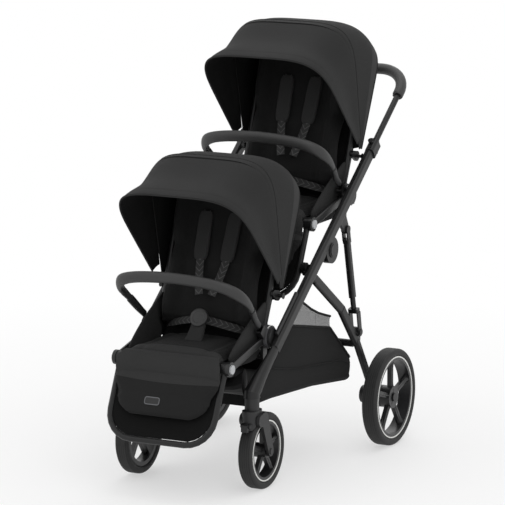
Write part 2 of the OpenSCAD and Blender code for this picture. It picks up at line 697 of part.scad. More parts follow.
module back_pad(k) {
    hw = seat_tube_x - 12;
    s0 = 10;
    s1 = back_len - 14;
    grid = [for (v = span(14)) [for (u = span(22)) [u, v]]];
    function s_of(v) = (s0 + s1) / 2 + (s1 - s0) / 2 * v;
    function drawn(s) = hw - 12 * dent(s, 150, 90);
    function front(u, s) = back_pad_t * (0.8 + 0.2 * (1 - u * u)) - 7 * dent(s, 150, 8) - 7 * dent(s, 285, 8)
        + wing_t * smooth((abs(u) - 0.6) / 0.3) * (1 - 0.5 * dent(s, 225, 30));
    function place(u, s, t) = side3(u * drawn(s), s * back_dir - (seat_tube_d / 2 + bare + t) * back_out);
    face = [for (r = grid) [for (g = r) let (s = s_of(g[1]))
        place(g[0], s, front(g[0], s) * max(0.2, rounding(g[0], g[1])))]];
    rear = [for (r = grid) [for (g = r) place(g[0] * 0.98, s_of(g[1] * 0.99), 0)]];
    color(lining) in_seat(k) sheet(face, rear);
}
module calf_pad(k) {
    hw = seat_tube_x + 2;
    s0 = 22;
    s1 = calf_len - 16;
    grid = [for (v = span(10)) [for (u = span(14)) [u, v]]];
    function s_of(v) = (s0 + s1) / 2 + (s1 - s0) / 2 * v;
    function drawn(s) = hw - 16 * smooth((s - 60) / 60) - 56 * pow(max(0, (s - 120) / (s1 - 120)), 2.6);
    function front(u, s) = 15 * (0.75 + 0.25 * (1 - u * u)) - 4 * dent(s, 0.55 * calf_len, 6);
    function place(u, s, t) =
        side3(u * drawn(s), knee + s * calf_dir + (seat_tube_d / 2 + bare + t) * calf_out);
    face = [for (r = grid) [for (g = r) let (s = s_of(g[1]))
        place(g[0], s, front(g[0], s) * max(0.25, rounding(g[0], g[1])))]];
    rear = [for (r = grid) [for (g = r) place(g[0] * 0.98, s_of(g[1] * 0.99), 0)]];
    color(fabric) in_seat(k) sheet(face, rear);
}

// Harness on the backrest, and the buckle with its crotch and waist straps on the seat
function on_back(x, s, t) = side3(x, s * back_dir - (seat_tube_d / 2 + t) * back_out);
module harness(k) {
    color(lining) in_seat(k) both() {
        flat_bar(on_back(42, 190, back_pad_t + 5.2), on_back(48, 345, back_pad_t + 5.2), 34, 9, 3);
        flat_bar(on_back(26, 120, back_pad_t + 12), on_back(41, 196, back_pad_t + 5.2), 26, 4, 1.5);
    }
}
module buckle(k) {
    base = pad_z + 2.9 + seat_pad_t;
    centre = [-66, base + 60];
    color(plastic) in_seat(k) {
        at(centre) rotate([back_angle - 8, 0, 0]) {
            cylinder(r = 27, h = 12, center = true);
            translate([0, 0, 6]) cylinder(r = 12, h = 3);
        }
        flat_bar(side3(0, [-96, base + 4]), side3(0, [-72, base + 36]), 44, 13, 4);
    }
}

// Canopy shells: rings in planes through the pivot, each from one side over the top
rear_edge_r = norm(lever_pos + 6 * back_dir + 9 * back_out - pivot) + 6.4;
function shell_r(a) = a < lap_a - 0.01
    ? canopy_r - (canopy_r - rear_edge_r) * pow((lap_a - a) / (lap_a - rear_edge_a), 1.6)
    : canopy_r + 5 + (rim_r - canopy_r - 5) * pow((a - lap_a) / (rim_a - lap_a), 1.15);
function arch(x, r, low, a, n, c) = let (shoulder = 205)
    concat([side3(x, c + low * [cos(a), sin(a)]), side3(x, c + 0.5 * (low + shoulder) * [cos(a), sin(a)])],
    [for (k = [0:n]) let (t = 180 * k / n, e = 0.62,
        px = x * sign(cos(t)) * pow(abs(cos(t)), e), pr = shoulder + (r - shoulder) * pow(sin(t), e))
        side3(px, c + pr * [cos(a), sin(a)])],
    [side3(-x, c + 0.5 * (low + shoulder) * [cos(a), sin(a)]), side3(-x, c + low * [cos(a), sin(a)])]);
module canopy_rear(k) {
    angles = [for (i = [0:6]) rear_edge_a + (seam_a - rear_edge_a) * i / 6];
    function reach(a) = a > lap_a - 0.02 ? canopy_r : shell_r(a);
    outer = [for (a = angles) arch(canopy_x, reach(a), 22, a, 16, pivot)];
    inner = [for (a = angles) arch(canopy_x - canopy_t, reach(a) - canopy_t, 22, a, 16, pivot)];
    color(fabric) in_seat(k) {
        sheet(outer, inner);
        both() difference() {
            at(pivot) cross_pin(24, canopy_x - canopy_t, canopy_x);
            at(pivot) cross_pin(5 + fit, canopy_x - 9, canopy_x + 9);
        }
    }
}
module canopy_front(k) {
    x = front_shell_x + canopy_t;
    angles = [for (i = [0:6]) lap_a + (rim_a - lap_a) * i / 6];
    outer = [for (a = angles) arch(x, shell_r(a) + canopy_t, 60, a, 16, pivot)];
    inner = [for (a = angles) arch(x - canopy_t, shell_r(a), 60, a, 16, pivot)];
    color(fabric) in_seat(k) {
        sheet(outer, inner);
        both() difference() {
            hull() {
                at(pivot) cross_pin(14, front_shell_x, x, $fn = 32);
                at(pivot + 66 * [cos(116), sin(116)]) cross_pin(14, front_shell_x, x, $fn = 32);
            }
            at(pivot) cross_pin(5 + fit, front_shell_x - 2, x + 2);
        }
    }
}

// Bumper bar, leg rest and their buttons
module bumper_bar(k) {
    mid_x = (plate_in + hub_out) / 2;
    foot = side3(mid_x, bumper_foot + 12 * bumper_dir);
    path = mirrored([side3(mid_x, bumper_foot + 20 * bumper_dir), side3(mid_x + 3, [-88, 66]),
        side3(196, [-128, 104]), side3(199, [-158, 128]), side3(193, [-188, 150]), side3(176, [-211, 168]),
        side3(150, [-224, 180]), side3(110, [-231, 188]), side3(55, [-235, 193]), side3(14, [-236, 195])]);
    color(leather) in_seat(k) {
        swept_bar(path);
        both() at(bumper_foot) rotate([atan2(bumper_dir[1], bumper_dir[0]) - 90, 0, 0])
            translate([plate_in + 2 + bare, -9 + bare, 0])
                cube([hub_out - plate_in - 4 - 2 * bare, 18 - 2 * bare, 24]);
    }
}
module swept_bar(path) {
    n = len(path);
    loft([for (i = [0:n - 1]) let (e = min(i, n - 1 - i), f = smooth((e - 1) / 4), t = tangent(path, i),
        a = unit(cross(t, side3(0, [-0.2, 1]))), b = cross(t, a))
        [for (j = [0:13]) path[i] + a * ((13 + 9 * f) / 2 * cos(360 * j / 14))
            + b * ((18 + (bumper_d - 18) * f) / 2 * sin(360 * j / 14))]]);
}
module calf_frame(k) {
    c = side3(seat_tube_x - 80, knee + (calf_len - 80) * calf_dir);
    path = mirrored(concat([side3(seat_tube_x, knee + 12 * calf_dir)],
        bend(c, [1, 0, 0], side3(0, calf_dir), 80, 6)));
    color(black) in_seat(k) {
        swept(path, side3(0, calf_out), seat_tube_d, seat_tube_d, 12);
        both() difference() {
            at(knee) cross_pin(19, plate_in - gap - 17, plate_in - gap);
            at(knee) cross_pin(7 + fit, 100, plate_in + 9);
        }
    }
}
module calf_button(k, s) {
    color(grey) in_seat(k) on_side(s) at(knee) cross_pin(13, plate_in + 5, plate_out + 5);
}

placed() lower_tubes();
placed() front_crossbar();
placed() upper_tubes();
placed() handle_tube();
placed() handle_grip();
placed() height_button(1);  // height_button_left
placed() height_button(-1);  // height_button_right
placed() fold_button(1);  // fold_button_left
placed() fold_button(-1);  // fold_button_right
placed() rear_legs();
placed() rear_crossbar();
placed() struts();
placed() rear_axles();
placed() brake_pedal();
placed() brake_pin(1);  // brake_pin_left
placed() brake_pin(-1);  // brake_pin_right
placed() rear_tyre(1);  // rear_tyre_left
placed() rear_tyre(-1);  // rear_tyre_right
placed() rear_rim(1);  // rear_rim_left
placed() rear_rim(-1);  // rear_rim_right
placed() front_tyre(1);  // front_tyre_left
placed() front_tyre(-1);  // front_tyre_right
placed() front_rim(1);  // front_rim_left
placed() front_rim(-1);  // front_rim_right
placed() caster_fork(1);  // caster_fork_left
placed() caster_fork(-1);  // caster_fork_right
placed() swivel_lock(1);  // swivel_lock_left
placed() swivel_lock(-1);  // swivel_lock_right
placed() basket();
placed() basket_rear();
placed() front_adapters();
placed() rear_adapters();
placed() seat_frame(0);  // front_seat_frame
placed() seat_frame(1);  // rear_seat_frame
placed() seat_pad(0);  // front_seat_pad
placed() seat_pad(1);  // rear_seat_pad
placed() back_frame(0);  // front_back_frame
placed() back_frame(1);  // rear_back_frame
placed() back_pad(0);  // front_back_pad
placed() back_pad(1);  // rear_back_pad
placed() harness(0);  // front_harness
placed() harness(1);  // rear_harness
placed() buckle(0);  // front_buckle
placed() buckle(1);  // rear_buckle
placed() canopy_rear(0);  // front_canopy_rear
placed() canopy_rear(1);  // rear_canopy_rear
placed() canopy_front(0);  // front_canopy_front
placed() canopy_front(1);  // rear_canopy_front
placed() bumper_bar(0);  // front_bumper_bar
placed() bumper_bar(1);  // rear_bumper_bar
placed() calf_frame(0);  // front_calf_frame
placed() calf_frame(1);  // rear_calf_frame
placed() calf_pad(0);  // front_calf_pad
placed() calf_pad(1);  // rear_calf_pad
placed() calf_button(0, 1);  // front_calf_button_left
placed() calf_button(0, -1);  // front_calf_button_right
placed() calf_button(1, 1);  // rear_calf_button_left
placed() calf_button(1, -1);  // rear_calf_button_right
placed() recline_lever(0);  // front_recline_lever
placed() recline_lever(1);  // rear_recline_lever
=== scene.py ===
# %% [markdown]
# # A tandem stroller: the looks around a finished frame
# The metal, the hinges and the wheels come from the CAD model, which this lesson loads as a fixed
# frame. Here the frame gets its finishes, and everything soft is made anew: canopies, cushions,
# harness, leg rests, basket, bumper bars and the grip.

# %% Load the frame
import math

import bmesh
import bpy
import numpy as np
from mathutils import Matrix, Vector


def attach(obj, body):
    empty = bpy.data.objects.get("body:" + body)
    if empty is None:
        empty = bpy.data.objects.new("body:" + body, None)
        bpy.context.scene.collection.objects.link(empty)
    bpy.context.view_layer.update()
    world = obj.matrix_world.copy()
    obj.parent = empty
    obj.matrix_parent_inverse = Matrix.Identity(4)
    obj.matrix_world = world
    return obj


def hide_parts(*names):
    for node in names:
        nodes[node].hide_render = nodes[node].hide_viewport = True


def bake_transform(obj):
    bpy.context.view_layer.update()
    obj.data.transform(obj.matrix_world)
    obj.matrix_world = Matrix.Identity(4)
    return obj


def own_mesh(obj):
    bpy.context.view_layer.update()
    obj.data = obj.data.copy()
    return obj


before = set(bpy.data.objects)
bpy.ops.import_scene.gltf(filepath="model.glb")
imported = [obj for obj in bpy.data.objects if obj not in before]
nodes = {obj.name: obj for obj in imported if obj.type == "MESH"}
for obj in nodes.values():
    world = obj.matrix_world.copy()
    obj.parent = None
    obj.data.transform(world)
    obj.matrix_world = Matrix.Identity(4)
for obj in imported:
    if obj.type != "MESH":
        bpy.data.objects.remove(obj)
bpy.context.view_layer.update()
bpy.ops.object.select_all(action="DESELECT")

# %% [markdown]
# ## Where things are
# The side view of the stroller is drawn in millimetres from a plane near the front wheels, as in
# the CAD source. One function turns such a point into metres from the stroller's centre. A seat
# has its own zero at its hub, and the rear seat is the front seat moved back and up.

# %% Places and helpers
MID_Y = 319.6
HUBS = {"front": (33.0, 425.0), "rear": (554.0, 752.0)}
STEP = Vector((0, 0.521, 0.327))
BACK = np.array([math.cos(math.radians(70)), math.sin(math.radians(70))])
BACK_OUT = np.array([BACK[1], -BACK[0]])
CALF = np.array([-math.cos(math.radians(65)), -math.sin(math.radians(65))])
CALF_OUT = np.array([CALF[1], -CALF[0]])
KNEE = np.array([-230.0, -50.0])
PIVOT = np.array([67.0, 107.0])
TUBE_FOOT = np.array([20.0, 392.8])
UP = np.array([math.cos(math.radians(37.1)), math.sin(math.radians(37.1))])
ACROSS = np.array([-UP[1], UP[0]])


def place(x, y, z):
    """A point in the side view's millimetres, as metres in the stroller's frame."""
    return (x / 1000, (y - MID_Y) / 1000, z / 1000)


def in_seat(x, p, seat="front"):
    """A point of a seat, measured from its hub."""
    hub = HUBS[seat]
    return place(x, hub[0] + p[0], hub[1] + p[1])


def on_back(x, s, out):
    """A point s up the backrest's middle line and out in front of it."""
    return in_seat(x, s * BACK - out * BACK_OUT)


def smooth(t):
    t = np.clip(t, 0, 1)
    return t * t * (3 - 2 * t)


def dent(x, at, width):
    return np.exp(-(((x - at) / width) ** 2))


def mesh_piece(name, points, faces, finish=None, uvs=None):
    """A new object from points in metres; its place is in its mesh."""
    data = bpy.data.meshes.new(name)
    data.from_pydata([tuple(p) for p in points], [], faces)
    data.validate()
    obj = bpy.data.objects.new(name, data)
    bpy.context.scene.collection.objects.link(obj)
    if uvs is not None:
        layer = data.uv_layers.new(name="UVMap")
        for loop in data.loops:
            layer.data[loop.index].uv = uvs[loop.vertex_index]
    if finish is not None:
        data.materials.append(finish)
    return obj


def only(obj):
    """Makes obj the one selected object."""
    bpy.ops.object.select_all(action="DESELECT")
    obj.select_set(True)
    bpy.context.view_layer.objects.active = obj


def apply_modifier(obj, kind, **settings):
    only(obj)
    m = obj.modifiers.new(kind.lower(), kind)
    for key, value in settings.items():
        setattr(m, key, value)
    bpy.ops.object.modifier_apply(modifier=m.name)


def outward(obj):
    """Turns all faces of a closed piece outwards and smooths its shading."""
    only(obj)
    bpy.ops.object.mode_set(mode="EDIT")
    bpy.ops.mesh.select_all(action="SELECT")
    bpy.ops.mesh.remove_doubles(threshold=0.00002)
    bpy.ops.mesh.normals_make_consistent(inside=False)
    bpy.ops.object.mode_set(mode="OBJECT")
    bpy.ops.object.shade_smooth_by_angle(angle=math.radians(40))
    return obj


def smooth_line(points, count):
    """count + 1 points of a smooth curve through the given ones."""
    p = np.array(points, float)
    ext = np.vstack([2 * p[0] - p[1], p, 2 * p[-1] - p[-2]])
    out = []
    for k in range(count + 1):
        t = k / count * (len(p) - 1)
        i = min(int(t), len(p) - 2)
        f = t - i
        a, b, c, d = ext[i], ext[i + 1], ext[i + 2], ext[i + 3]
        out.append(0.5 * (2 * b + (c - a) * f + (2 * a - 5 * b + 4 * c - d) * f ** 2
                          + (3 * b - a - 3 * c + d) * f ** 3))
    return np.array(out)


def grid_faces(rows, columns, closed=False):
    """Faces between rows of points; closed joins the last column to the first."""
    width = columns if closed else columns - 1
    return [(j * columns + i, j * columns + (i + 1) % columns,
             (j + 1) * columns + (i + 1) % columns, (j + 1) * columns + i)
            for j in range(rows - 1) for i in range(width)]


def copy_to_rear(obj, name):
    """The rear seat's copy of a front seat's piece, with a mesh of its own."""
    twin = obj.copy()
    twin.data = obj.data.copy()
    twin.name = name
    twin.data.name = name
    bpy.context.scene.collection.objects.link(twin)
    twin.data.transform(Matrix.Translation(STEP))
    return twin


print("front hub", in_seat(0, (0, 0)), "rear hub", in_seat(0, (0, 0), "rear"))

# %% [markdown]
# ## Camera, floor and light
# The camera stands at the photograph's place, which was worked out from the wheels and the frame.
# The floor is pale and the world is white only where the camera sees it, so the light on the
# stroller stays at a plain level while the background is clean.

# %% Camera
scene = bpy.context.scene
bpy.ops.object.camera_add(
    location=(4.76677, (-9061.11 - MID_Y) / 1000, 2.62869),
    rotation=(math.radians(90 - 10.894), 0, math.radians(26.994)))
camera = bpy.context.object
camera.name = "camera"
camera.data.lens = 261.07
camera.data.sensor_width = 36
camera.data.clip_end = 60
scene.camera = camera
scene.view_settings.view_transform = "Standard"
print("camera at", [round(v, 3) for v in camera.location])


# %% [markdown]
# ## Finishes
# A finish is a network of nodes. Writing it as Python sums is shorter to read than a list of
# links, so one small class wraps a socket and adds a Math node for each operator that is used.

# %% The socket class
class Tone:
    """One socket of a finish. Sums and products with it become Math nodes."""

    def __init__(self, finish, socket):
        self.finish, self.socket = finish, socket

    def _math(self, operation, *values):
        return self.finish.add("ShaderNodeMath", {"operation": operation}, *values)

    def __add__(self, other): return self._math("ADD", self, other)
    def __radd__(self, other): return self._math("ADD", other, self)
    def __sub__(self, other): return self._math("SUBTRACT", self, other)
    def __rsub__(self, other): return self._math("SUBTRACT", other, self)
    def __mul__(self, other): return self._math("MULTIPLY", self, other)
    def __rmul__(self, other): return self._math("MULTIPLY", other, self)
    def __truediv__(self, other): return self._math("DIVIDE", self, other)
    def __pow__(self, other): return self._math("POWER", self, other)
    def __abs__(self): return self._math("ABSOLUTE", self)
    def __gt__(self, other): return self._math("GREATER_THAN", self, other)
    def __lt__(self, other): return self._math("LESS_THAN", self, other)
    def sin(self): return self._math("SINE", self)
    def mod(self, other): return self._math("PINGPONG", self, other)


class Finish:
    """A material whose nodes are added one call at a time."""

    def __init__(self, name):
        self.material = bpy.data.materials.new(name)
        self.material.use_nodes = True
        self.tree = self.material.node_tree
        self.shader = next(n for n in self.tree.nodes if n.type == "BSDF_PRINCIPLED")
        self.at = self.add("ShaderNodeTexCoord", out="Object")

    def add(self, kind, settings=None, *values, out=0, **named):
        node = self.tree.nodes.new(kind)
        for key, value in (settings or {}).items():
            setattr(node, key, value)
        for key, value in [*enumerate(values), *named.items()]:
            socket = node.inputs[key.replace("_", " ") if isinstance(key, str) else key]
            if isinstance(value, Tone):
                self.tree.links.new(value.socket, socket)
            else:
                socket.default_value = value
        return Tone(self, node.outputs[out])

    def set(self, **values):
        for key, value in values.items():
            socket = self.shader.inputs[key.replace("_", " ")]
            if isinstance(value, Tone):
                self.tree.links.new(value.socket, socket)
            else:
                socket.default_value = value
        return self

    def noise(self, scale, detail=2.0, rough=0.5, at=None):
        return self.add("ShaderNodeTexNoise", None, Vector=at or self.at, Scale=scale,
                        Detail=detail, Roughness=rough, out="Fac")

    def axes(self, at=None):
        """The x, y and z of the place on the piece, in metres."""
        node = self.tree.nodes.new("ShaderNodeSeparateXYZ")
        self.tree.links.new((at or self.at).socket, node.inputs[0])
        return [Tone(self, node.outputs[k]) for k in range(3)]

    def along(self, direction, at=None):
        """Distance along a direction."""
        node = self.tree.nodes.new("ShaderNodeVectorMath")
        node.operation = "DOT_PRODUCT"
        self.tree.links.new((at or self.at).socket, node.inputs[0])
        node.inputs[1].default_value = direction
        return Tone(self, node.outputs["Value"])

    def uv(self):
        return self.add("ShaderNodeTexCoord", out="UV")

    def mix(self, amount, a, b):
        """Colour a where amount is 0 and b where it is 1."""
        node = self.tree.nodes.new("ShaderNodeMix")
        node.data_type = "RGBA"
        for socket, value in ((node.inputs[0], amount), (node.inputs[6], a), (node.inputs[7], b)):
            if isinstance(value, Tone):
                self.tree.links.new(value.socket, socket)
            else:
                socket.default_value = value
        return Tone(self, node.outputs[2])

    def bump(self, height, distance, strength=1.0):
        return self.add("ShaderNodeBump", None, Height=height, Distance=distance,
                        Strength=strength, out="Normal")


def shade(code, gain=1.0):
    """A colour written as six hexadecimal digits, as Blender's linear numbers."""
    parts = [int(code[k:k + 2], 16) / 255 for k in (0, 2, 4)]
    return tuple(min(1, gain * ((c + 0.055) / 1.055) ** 2.4 if c > 0.04045 else gain * c / 12.92)
                 for c in parts) + (1.0,)


print("middle grey", [round(v, 3) for v in shade("808080")])

# %% [markdown]
# ### Hard finishes
# The tubes are powder coated: black, satin, with a very fine orange-peel skin. Moulded plastic is
# a little rougher and greyer. Both get slow changes of tone, which real parts show under soft
# light.

# %% Coat, plastics, leather


def powder_coat():
    f = Finish("satin_black_coat")
    cloud = f.noise(9, 3)
    peel = f.noise(900, 2)
    f.set(Base_Color=f.mix(cloud, shade("0f0f0f"), shade("161617")),
          Roughness=0.36 + 0.12 * cloud + 0.05 * f.noise(60, 2),
          Normal=f.bump(peel, 0.00012, 0.5), Coat_Weight=0.06)
    f.shader.inputs["Coat Roughness"].default_value = 0.25
    f.shader.inputs["Specular IOR Level"].default_value = 0.35
    return f.material


def moulded(name, low, high, rough=0.42, grain=1400):
    """Moulded plastic with a fine spark-eroded grain."""
    f = Finish(name)
    cloud = f.noise(14, 3)
    f.set(Base_Color=f.mix(cloud, shade(low), shade(high)),
          Roughness=rough + 0.1 * cloud + 0.06 * f.noise(grain / 6, 1),
          Normal=f.bump(f.noise(grain, 1), 0.0001, 0.45))
    return f.material


def leather(name, low="242424", high="303030"):
    """Leather look: small cells with soft creases between them."""
    f = Finish(name)
    cells = f.add("ShaderNodeTexVoronoi", {"feature": "DISTANCE_TO_EDGE"}, Vector=f.at,
                  Scale=620.0, out="Distance")
    crease = cells * 3.0
    cloud = f.noise(22, 3)
    grain = f.noise(260, 3)
    f.set(Base_Color=f.mix(cloud * 0.7 + grain * 0.3, shade(low), shade(high)),
          Roughness=0.42 + 0.14 * cloud + 0.08 * grain,
          Normal=f.bump(crease * 0.6 + grain * 0.4, 0.0003, 0.55), Coat_Weight=0.08)
    f.shader.inputs["Coat Roughness"].default_value = 0.35
    return f.material


black_coat = powder_coat()
plastic = moulded("moulded_black", "151516", "1f1f20")
dark_plastic = moulded("moulded_deep_black", "121213", "19191a", 0.5)
soft_grey = moulded("moulded_grey", "a9abad", "c3c5c7", 0.4)
mid_grey = moulded("moulded_mid_grey", "4a4b4d", "606164", 0.4)
hide = leather("leather_look")
print("hard finishes", len(bpy.data.materials))

# %% [markdown]
# ### Tyres and rims
# A tyre's tread has fine grooves that run round it. They depend only on the place across the
# tyre, so a wave of the x coordinate cuts them, masked to the outside of the tyre. The grooves are
# painted near-black: painted shade in the recesses. Each rim carries a thin pale ring beside the
# tyre; a mask on the distance from the axle paints it.

# %% Wheels


def from_axle(f, y, z):
    """Distance from an axle that runs along x."""
    x_, y_, z_ = f.axes()
    y_ = y_ - y
    z_ = z_ - z
    return x_, (y_ * y_ + z_ * z_) ** 0.5


def tyre_rubber(name, x, axle, radius):
    f = Finish(name)
    along_x, out = from_axle(f, axle[1], axle[2])
    across = along_x - x
    groove = (across * (2 * math.pi / 0.0066)).sin() > 0.35
    cut = groove * (out > radius - 0.0085) * (abs(across) < 0.0175)
    dust = f.noise(70, 4)
    rubber = f.mix(dust, shade("191919"), shade("232323"))
    # The groove mask also paints the grooves near-black: painted shade in the recesses.
    f.set(Base_Color=f.mix(cut, rubber, shade("0b0b0b")), Roughness=0.6 + 0.2 * dust,
          Normal=f.bump(1 - cut + 0.06 * f.noise(700, 2), 0.0016, 0.9))
    return f.material


def rim_plastic(name, side, axle, radius, face):
    f = Finish(name)
    along_x, out = from_axle(f, axle[1], axle[2])
    ring = (out > radius - 0.0261) * (out < radius - 0.0223) * (abs(along_x) > face - 0.0012)
    cloud = f.noise(20, 3)
    f.set(Base_Color=f.mix(ring, f.mix(cloud, shade("161617"), shade("212122")), shade("e9e9e6")),
          Roughness=0.32 + 0.12 * cloud, Normal=f.bump(f.noise(900, 1), 0.0001, 0.4))
    return f.material


def paint(node, *finishes):
    """Gives a CAD node its finish."""
    slots = nodes[node].data.materials
    slots.clear()
    for m in finishes:
        slots.append(m)


def seat_coat(seat):
    """The seat frame's coat, with a grey cover on each hub and a thin pale mark on its top."""
    f = Finish(f"{seat}_seat_coat")
    hub = in_seat(0, (0, 0), seat)
    along_x, out = from_axle(f, hub[1], hub[2])
    cap = (abs(along_x) > 0.1746) * (out < 0.0345)
    height = f.along((0, 0, 1)) - hub[2]
    mark = (out > 0.0318) * (height > 0.0285) * (abs(along_x) > 0.1905)
    cloud = f.noise(12, 3)
    coat = f.mix(cloud, shade("0f0f0f"), shade("161617"))
    cover = f.mix(cloud, shade("434345"), shade("505052"))
    f.set(Base_Color=f.mix(cap * mark, f.mix(cap, coat, cover), shade("dcdcda")),
          Roughness=0.32 + 0.12 * cloud + 0.1 * cap, Normal=f.bump(f.noise(900, 1), 0.0001, 0.45))
    return f.material


REAR_AXLE = place(301.5, 600, 145)
FRONT_AXLE = place(198, -37, 110.5)
for side, s in (("left", 1), ("right", -1)):
    paint(f"rear_tyre_{side}", tyre_rubber(f"rear_tyre_rubber_{side}", s * 0.3015, REAR_AXLE, 0.145))
    paint(f"front_tyre_{side}", tyre_rubber(f"front_tyre_rubber_{side}", s * 0.198, FRONT_AXLE, 0.1105))
    paint(f"rear_rim_{side}", rim_plastic(f"rear_rim_plastic_{side}", s, REAR_AXLE, 0.145, 0.3208))
    paint(f"front_rim_{side}", rim_plastic(f"front_rim_plastic_{side}", s, FRONT_AXLE, 0.1105, 0.2146))
for name in nodes:
    if name in ("lower_tubes", "front_crossbar", "upper_tubes", "handle_tube", "rear_legs",
                "rear_crossbar", "struts") or name.endswith(("seat_frame", "back_frame", "calf_frame")):
        paint(name, black_coat)
    elif name.startswith(("caster", "swivel", "rear_axles", "brake_pedal", "height", "fold")) \
            or name.endswith("adapters"):
        paint(name, plastic)
    elif "calf_button" in name:
        paint(name, soft_grey)
    elif name.startswith("brake_pin") or name.endswith("recline_lever"):
        paint(name, mid_grey)
for seat in HUBS:
    paint(f"{seat}_seat_frame", seat_coat(seat))
print("painted", len(nodes), "CAD nodes")

# %% [markdown]
# Each rim has five spokes with a ridge along the middle. They are widest where they meet the rim,
# and the ridge is lowest halfway, so the wheel looks dished. One piece per wheel covers the plain
# spokes of the CAD model.

# %% Spokes


def spoke_star(name, side, axle, rows, finish):
    """Five spokes on a rim's outer face; rows hold (distance out, half width, ridge, foot) in mm."""
    profile = [(-1, 0), (-0.6, 0.62), (-0.12, 1), (0.12, 1), (0.6, 0.62), (1, 0)]
    points, faces = [], []
    for k in range(5):
        turn = math.radians(90 + 72 * k)
        out, round_ = np.array([math.cos(turn), math.sin(turn)]), np.array([-math.sin(turn), math.cos(turn)])
        first = len(points)
        for r, half, ridge, foot in rows:
            for u, h in profile:
                y, z = (r * out + u * half * round_) / 1000
                points.append((side * (axle[0] + (foot + (ridge - foot) * h) / 1000), axle[1] + y, axle[2] + z))
        n = len(profile)
        faces += [tuple(first + i for i in f) for f in grid_faces(len(rows), n, closed=True)]
        faces += [[first + i for i in range(n)][::-1], [first + (len(rows) - 1) * n + i for i in range(n)]]
    obj = mesh_piece(name, points, faces, finish)
    apply_modifier(obj, "BEVEL", width=0.0012, segments=2, limit_method="ANGLE")
    return outward(obj)


REAR_SPOKE = [(3, 9, 16.8, 6), (22, 8.6, 16.8, 5), (45, 7.4, 13.5, 3), (75, 8.2, 12.5, 3), (100, 11, 14.5, 4),
              (114, 17, 18, 6)]
FRONT_SPOKE = [(3, 7, 15, 6), (18, 7, 14, 5), (40, 6, 12, 3), (62, 7, 12, 3), (80, 12, 15, 5)]
spokes = {}
for side, s in (("left", 1), ("right", -1)):
    spokes[f"rear_wheel_{side}"] = spoke_star(f"rear_spokes_{side}", s, REAR_AXLE, REAR_SPOKE,
                                              nodes[f"rear_rim_{side}"].data.materials[0])
    spokes[f"front_wheel_{side}"] = spoke_star(f"front_spokes_{side}", s, FRONT_AXLE, FRONT_SPOKE,
                                               nodes[f"front_rim_{side}"].data.materials[0])
print("spokes", [len(o.data.polygons) for o in spokes.values()])

# %% [markdown]
# ### Cloth
# The outer cloth is a charcoal plain weave. Threads cross every millimetre or so: the product of
# two waves gives the weave's bumps, and slow noise gives the slightly uneven tone of dyed yarn.
# The two directions of the threads are given for each piece, so the weave follows its length.

# %% Woven finishes


def woven(name, low, high, across=(1, 0, 0), down=(0, 0, 1), pitch=0.0013, sheen=0.05, rough=0.86,
          other=None, where=None):
    """Woven cloth; where(finish) is 1 on the part that has the other pair of shades."""
    f = Finish(name)
    u = f.along(across) * (2 * math.pi / pitch)
    v = f.along(down) * (2 * math.pi / pitch)
    weave = u.sin() * v.sin()
    yarn = f.noise(420, 2)
    cloud = f.noise(7, 3)
    amount = 0.5 * cloud + 0.3 * yarn + 0.1 * weave
    tone = f.mix(amount, shade(low), shade(high))
    if other is not None:
        tone = f.mix(where(f), tone, f.mix(amount, shade(other[0]), shade(other[1])))
    f.set(Base_Color=tone, Roughness=rough + 0.08 * yarn,
          Normal=f.bump(weave * 0.5 + yarn * 0.5, 0.0004, 0.5), Sheen_Weight=sheen)
    f.shader.inputs["Sheen Roughness"].default_value = 0.5
    f.shader.inputs["Sheen Tint"].default_value = (0.6, 0.6, 0.6, 1)
    f.shader.inputs["Specular IOR Level"].default_value = 0.12
    return f.material


BACK_V = (0, BACK[0], BACK[1])
CALF_V = (0, CALF[0], CALF[1])
canopy_cloth = woven("canopy_cloth", "2a2a2a", "353535", down=(0, 0.6, 0.8))


def rear_canopy_cloth(seat):
    """Canopy cloth with a lighter band between two planes near the rear edge."""
    pivot = np.array(in_seat(0, PIVOT, seat))

    def band(f):
        inside = None
        for angle, sign in ((66.2, 1), (72.6, -1)):
            a = math.radians(angle)
            normal = np.array((0, -math.sin(a), math.cos(a)))
            past = (f.along(tuple(normal)) - float(normal @ pivot)) * sign > 0
            inside = past if inside is None else inside * past
        return inside
    return woven(f"{seat}_rear_canopy_cloth", "2a2a2a", "353535", down=(0, 0.6, 0.8),
                 other=("383838", "444444"), where=band)


canopy_lining = woven("canopy_lining", "161616", "1f1f1f", down=(0, 0.6, 0.8), sheen=0.02)
back_cloth = woven("back_cloth", "1a1a1a", "242424", down=BACK_V)
side_cloth = woven("side_cloth", "2b2b2b", "373737", down=BACK_V)
panel_cloth = woven("panel_cloth", "303030", "3b3b3b", down=CALF_V)


def seat_cloth(seat):
    """Dark cloth with a lighter panel along the cushion's front."""
    edge = in_seat(0, (-196, 0), seat)[1]
    return woven(f"{seat}_seat_cloth", "1c1c1c", "262626", down=(0, 1, 0), other=("303030", "3b3b3b"),
                 where=lambda f: f.along((0, 1, 0)) < edge)


def leg_cloth(seat):
    """Lighter cloth above the leg panel's curved seam and darker cloth below it."""
    knee = float(np.dot(CALF, in_seat(0, KNEE, seat)[1:]))

    def below(f):
        x = f.along((1, 0, 0))
        return f.along(CALF_V) - knee + 0.008 / 0.15 ** 2 * (x * x) > 0.064
    return woven(f"{seat}_leg_cloth", "303030", "3b3b3b", down=CALF_V, other=("202020", "292929"),
                 where=below)


pocket_cloth = woven("pocket_cloth", "0e0e0e", "151515", down=CALF_V, sheen=0.02)
basket_cloth = woven("basket_cloth", "1d1d1d", "262626", down=(0, 0, 1), pitch=0.0018)
binding = woven("binding_tape", "161616", "1e1e1e", pitch=0.0011, rough=0.7)


